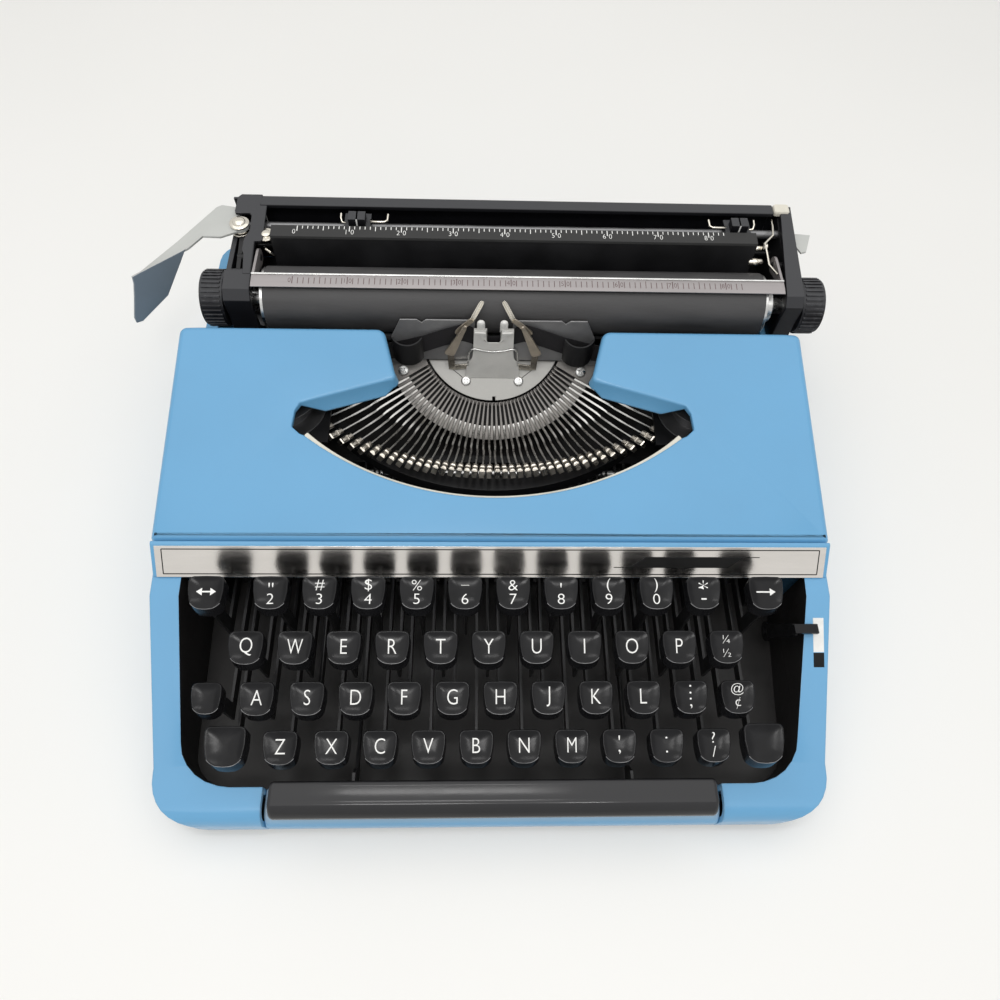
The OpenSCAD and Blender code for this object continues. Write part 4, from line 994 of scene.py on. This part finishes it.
def strip_into(bm, stations, across, thick, normal=(0, 1, 0), profile=FLAT):
    """A bent strip along stations (x, y, z, half width); a fifth value is the direction across there."""
    normal = Vector(normal).normalized() * thick
    rings = []
    for x, y, z, w, *own in stations:
        side = Vector(own[0] if own else across).normalized() * w
        rings.append([at(*(Vector((x, y, z)) + side * u + normal * (h - 0.5))) for u, h in profile])
    loft_into(bm, rings)


def vibrator():
    """The fork that lifts the ribbon: two bent fingers over the platen, their guides and the cross bar."""
    finger = ((9.9, 211.6, 80.0, 1.2), (9.0, 212.3, 81.6, 1.25), (6.9, 214.6, 84.6, 1.25),
              (5.5, 216.1, 86.6, 1.2), (5.0, 216.6, 87.3, 1.0), (4.8, 216.8, 87.6, 0.5))
    bm = bmesh.new()
    for s in (-1, 1):
        strip_into(bm, [(s * x - 0.6, y, z, w) for x, y, z, w in finger], (0.86, 0, 0.5 * s), 0.9,
                   (0, -0.8, 0.6), CHANNEL)
    strip_into(bm, [(x, 210.8, 46 + 2 * (1 - (x / 20) ** 2), 1.8) for x in (-20, -14, -7, 0, 7, 14, 20)],
               (0, 0, 1), 0.7)
    for s in (-1, 1):
        strip_into(bm, [(s * 20.4, 210.6, 45, 1.6), (s * 20.6, 210.2, 52, 1.6), (s * 20.8, 209.4, 59.5, 1.6)],
                   (1, 0, 0), 0.7)
    piece("vibrator_fork", bm, "nickel", "ribbon_vibrator", 30, True)
    bm = bmesh.new()
    for s in (-1, 1):
        strip_into(bm, [(s * 9.4 - 0.6, 211.7, 80.6, 1.2), (s * 11.0 - 0.5, 211.2, 79.8, 1.3),
                        (s * 16.6 - 0.2, 210.8, 73.8, 1.3), (s * 17.6, 210.8, 72.6, 1.1),
                        (s * 18.1, 210.8, 72.0, 0.5)], (0.66, 0, 0.75 * s), 0.7)
        strip_into(bm, [(s * x, 209.2, z, w) for x, z, w in (
            (13.3, 78.9, 0.5), (13.6, 78.2, 0.9), (20.9, 59.8, 2.5), (21.4, 58.6, 2.3), (21.6, 58.0, 1.4))],
            (0.93, 0, 0.36 * s), 0.8, (0, 1, 0.1))
    piece("vibrator_guides", bm, "brass", "ribbon_vibrator", 30)


vibrator()


def neck():
    """Posts, hooked lips and the face at the top of the type guide."""
    post = ((1.9, 74.5), (1.9, 79.6), (1.75, 80.6), (1.3, 81.3), (0.6, 81.6))
    bm = bmesh.new()
    for s in (-1, 1):
        turned_into(bm, s * 5.4 - 0.7, 210.2, post, 20, squash=0.7)
        strip_into(bm, [(s * 9.0, 208.3, 75.0, 0.8), (s * 4.6, 208.0, 75.0, 0.8),
                        (s * 3.9, 208.0, 74.7, 0.8)], (0, 0, 1), 0.8)
        strip_into(bm, [(s * 5.3, 208.1, 74.4, 0.8), (s * 5.2, 208.1, 71.6, 0.8),
                        (s * 4.4, 208.1, 70.4, 0.8, (0.8, 0, 0.5 * s)),
                        (s * 3.4, 208.1, 69.8, 0.7, (0.5, 0, 0.8 * s))], (1, 0, 0), 0.7)
    piece("guide_posts", bm, "neck", "segment_plate", 40)
    right = [(13.6, 40.6), (13.2, 47), (12.8, 52), (12.0, 53.8), (10.8, 55.2), (10.2, 57), (9.8, 61),
             (9.4, 76.8), (3.7, 76.8), (3.5, 69.4), (2.6, 68.2)]
    rings = [[at(x, y, z) for x, z in right + mirror(right)] for y in (208.75, 208.4)]
    piece("guide_face", lofted(rings), "neck", "segment_plate", 30)


neck()


def ribbon_guides():
    """Curved black guides that lead the ribbon from the spools to the fork."""
    middle_x, middle_y, radius = 41, 210.7, 6.5
    wall = ((0, 57), (0, 70.5), (0.4, 71.6), (1.1, 71.6), (1.3, 70.8), (1.2, 57))
    bm = bmesh.new()
    for s in (-1, 1):
        loft_into(bm, [[at(s * (middle_x + (radius + o) * sin(a)), middle_y - (radius + o) * cos(a), z)
                        for o, z in wall] for a in (radians(-70 + 14 * k) for k in range(11))])
    piece("ribbon_guides", bm, "black", "chassis", 35)


ribbon_guides()


# Cream strip along the front edge of the basket opening

def basket_trim():
    rings = []
    steps = 30
    for k in range(-steps, steps + 1):
        a = BASKET_ANGLE * k / steps
        wide = 0.75 + 0.9 * abs(k / steps) ** 6
        top = cover_top(BASKET_FRONT + BASKET_R * (1 - cos(a)))
        rings.append([at((BASKET_R - o) * sin(a), BASKET_FRONT + BASKET_R - (BASKET_R - o) * cos(a), top + h)
                      for o, h in ((0.05, -2.9), (0.05, -0.9), (0.45 * wide, -0.6), (1.2 * wide, -0.8),
                                   (1.4 * wide, -1.3), (1.3 * wide, -2.9))])
    piece("basket_trim", lofted(rings), "cream", "ribbon_cover", 40)


basket_trim()


# Carriage fittings

def stop_fittings(node, x, side):
    """White line on a margin stop's head and the wire clip beside it."""
    half, front, rear, low, top = 0.35, 257.4, 263, 93.2, 97.0
    bm = bmesh.new()
    for (y0, z0), (y1, z1) in (((front, low), (front, top)), ((front, top), (rear, top))):
        face_into(bm, [at(x - half, y0, z0), at(x + half, y0, z0),
                       at(x + half, y1, z1), at(x - half, y1, z1)])
    piece(node + "_line", bm, "white", node, 30)
    bm = bmesh.new()
    for radius, wire in (
            (0.5, ((6.0, 262, 92.8), (6.6, 258.8, 94.6), (9, 258.3, 95), (13, 258.4, 95), (14.4, 259.2, 95.2),
                   (14.6, 262.8, 95.6))),
            (0.45, ((-5.6, 259.5, 93), (-7.2, 259.3, 93.6), (-7.8, 261, 94.6), (-7.8, 263.6, 95)))):
        wire_into(bm, [(x + side * u, y, z) for u, y, z in wire], radius)
    piece(node + "_clip", bm, "nickel", node, 50)


stop_fittings("left_margin_stop", -65.2, 1)
stop_fittings("right_margin_stop", 118.4, -1)

LEVER_X, LEVER_Y, LEVER_Z = -120.8, 258, 91


def return_lever():
    """Folded lever: a pale flat arm, a finger plate turned down along its front edge, and its pivot screw."""
    obj = rounded_copy("return_lever", 0.45, "grey", angle=24)
    # The turned-down finger plate takes the darker slate finish: partly its bluish paint, partly painted
    # shade.
    obj.data.materials.append(MATS["slate"])
    for face in obj.data.polygons:
        if face.center.z < (LEVER_Z - 0.1) * MM:
            face.material_index = 1
    hub = ((4.6, 93.0), (4.6, 93.5), (4.2, 93.8), (3.0, 93.9),
           (2.9, 94.3), (2.4, 94.8), (1.4, 95.1), (0.5, 95.2))
    bm = bmesh.new()
    turned_into(bm, LEVER_X, LEVER_Y, hub, 32)
    piece("return_lever_hub", bm, "nickel", "return_lever", 40)


return_lever()


def cover_arm_z(y):
    """Top of the end covers, which rises toward the rear."""
    return 88 + (y - 222) * 7.5 / 51


def carriage_fittings():
    """Small levers, springs and covers at the two ends of the carriage."""
    bm = bmesh.new()
    for r, z in ((4.2, 88.2), (3.2, 89.1)):
        wire_into(bm, [(LEVER_X + r * cos(a), LEVER_Y + r * sin(a), z + a * 0.14)
                       for a in turns(24) + [2 * pi]], 0.5)
    wire_into(bm, [(-109.6, 250, 86), (-108.8, 247, 88.5), (-107.4, 245, 89.6), (-105.6, 244.4, 88.6),
                   (-104.6, 245.2, 86)], 0.6)
    wire_into(bm, [(136.4, 267, 92.6), (136, 262, 93), (135.4, 256.6, 92.4), (131, 252, 91.4),
                   (131.2, 247, 91), (131.6, 240, 89.6), (134, 233, 90.6)], 0.55)
    for x, y, z, r, length in (
            (124.5, 247.5, 84, 1.7, 7), (127, 254.5, 86, 1.3, 6), (131, 253.5, 88, 2.0, 2.4)):
        wire_into(bm, [(x + length * k, y, z) for k in (0, 0.1, 0.5, 0.9, 1)],
                  [r * k for k in (0.7, 1, 1, 1, 0.7)], 16)
    disc = ((4.2, 91.0), (4.2, 91.5), (3.9, 91.8), (2.3, 91.9), (2.2, 92.5), (1.2, 92.9))
    turned_into(bm, -107.9, 252.6, disc, 28)
    piece("carriage_levers", bm, "nickel", "margin_rail", 40)
    slab = [(-109.0, 248.8), (-108.8, 268.4), (-111.4, 269.6), (-111.4, 274.4), (-121.4, 274.4),
            (-123.0, 272.8), (-123.6, 265), (-123.2, 263.5), (-116.4, 263.5), (-115.5, 262.4), (-115.4, 254),
            (-117.6, 249.4), (-118.0, 243), (-117.0, 240.6), (-116.4, 230), (-112.8, 230), (-112.8, 247.8),
            (-110, 247.9)]
    rings = [[at(x - inset * (1 if x > -114 else -1), y, cover_arm_z(y) + up) for x, y in slab]
             for inset, up in ((0, -0.9), (0, 0.05), (0.25, 0.2))]
    piece("left_arm_top", lofted(rings), "charcoal", "left_end_cover", 30)
    tab = [(147.4, 262.6), (156.4, 261.8), (153.2, 252.2), (150.6, 251.4), (147.4, 257)]
    rings = [[at(x, y, z + (y - 256) * 0.15) for x, y in tab] for z in (86.4, 87.3)]
    piece("release_tab", lofted(rings), "grey", "paper_release_lever", 30)
    corners = ((-1, -0.7), (-0.75, -1), (0.75, -1), (1, -0.7), (1, 0.7), (0.75, 1), (-0.75, 1), (-1, 0.7))
    rings = [[at(141.2 + u * 3.9 * k, 271.6 + v * 2.9 * k, z) for u, v in corners]
             for z, k in ((93.2, 0.96), (94.6, 1.0), (95.4, 0.98), (95.9, 0.88), (96.1, 0.6))]
    piece("corner_cap", lofted(rings), "cream", "right_end_cover", 40)
    # Joins the carriage back to the narrowed end cover
    rings = along_x([(272.7, 57.6), (274.9, 57.6), (274.9, 93.2), (272.7, 93.2)], (136.9, 141.4))
    piece("end_filler", lofted(rings), "charcoal", "right_end_cover", 30)


carriage_fittings()


# Labels beside the ribbon selector

def arm_z(y):
    """Top of the case's right arm, which rises toward the rear."""
    return 24 + (y - 22) * 29 / 64


def selector_labels():
    x0, x1 = 135.6, 140.2
    for name, mat, y0, y1 in (("label_white", "white", 64.4, 77.6), ("label_black", "ink", 58.6, 64.2)):
        ring = ((x0, y0, 1, 1), (x1, y0, -1, 1), (x1, y1, -1, -1), (x0, y1, 1, -1))
        rings = [[at(x + inset * u, y + inset * v, arm_z(y) + up) for x, y, u, v in ring]
                 for inset, up in ((0, 0.01), (0.15, 0.15))]
        piece(name, lofted(rings), mat, "lower_case", 30)


selector_labels()


# Stage and light

def stage():
    bm = bmesh.new()
    bmesh.ops.create_grid(bm, x_segments=2, y_segments=2, size=3.0)
    mesh = bpy.data.meshes.new("table")
    bm.to_mesh(mesh)
    bm.free()
    m, tree, bsdf = new_material("table_white")
    broad = noise(tree, coords(tree), 3.0, 3.0)
    tones = two_tones(tree, broad, (0.855, 0.850, 0.828), (0.875, 0.870, 0.850))
    tree.links.new(tones, bsdf.inputs["Base Color"])
    bsdf.inputs["Roughness"].default_value = 0.7
    mesh.materials.append(m)
    table = bpy.data.objects.new("table", mesh)
    table.location = (0, 0, -0.0002)
    scene.collection.objects.link(table)


stage()


def area(name, place, target, size, power, colour=(1, 0.99, 0.98)):
    data = bpy.data.lights.new(name, "AREA")
    data.shape = "RECTANGLE"
    data.size, data.size_y = size
    data.energy = power
    data.color = colour
    obj = bpy.data.objects.new(name, data)
    obj.location = place
    obj.rotation_euler = (Vector(target) - Vector(place)).to_track_quat("-Z", "Y").to_euler()
    obj.visible_camera = False
    scene.collection.objects.link(obj)


area("ceiling", (0, 0.05, 1.5), (0, 0.05, 0), (2.4, 2.2), 13.2, (1, 0.99, 0.975))
area("over_bar", (-0.11, 0.0, 1.3), (-0.11, 0.0, 0), (0.5, 0.1), 1.2)
area("front_left", (-0.2, -0.62, 1.3), (0, 0, 0.05), (0.40, 0.20), 3.2)
area("front_right", (0.26, -0.62, 1.3), (0, 0, 0.05), (0.16, 0.20), 1.3)


def world_light():
    """An even studio dome, seen stronger by the camera and by reflections than by the rest."""
    world = bpy.data.worlds.new("studio")
    world.use_nodes = True
    scene.world = world
    tree = world.node_tree
    back = tree.nodes["Background"]
    back.inputs["Color"].default_value = (0.97, 0.97, 0.96, 1)
    path = add(tree, "ShaderNodeLightPath")
    seen = path.outputs["Is Camera Ray"]
    for other in ("Is Glossy Ray", "Is Transmission Ray"):
        both = add(tree, "ShaderNodeMath", operation="MAXIMUM")
        tree.links.new(seen, both.inputs[0])
        tree.links.new(path.outputs[other], both.inputs[1])
        seen = both.outputs[0]
    tree.links.new(remap(tree, seen, 0.51, 0.88, 0.0, 1.0), back.inputs["Strength"])


world_light()
scene.view_settings.view_transform = "Standard"
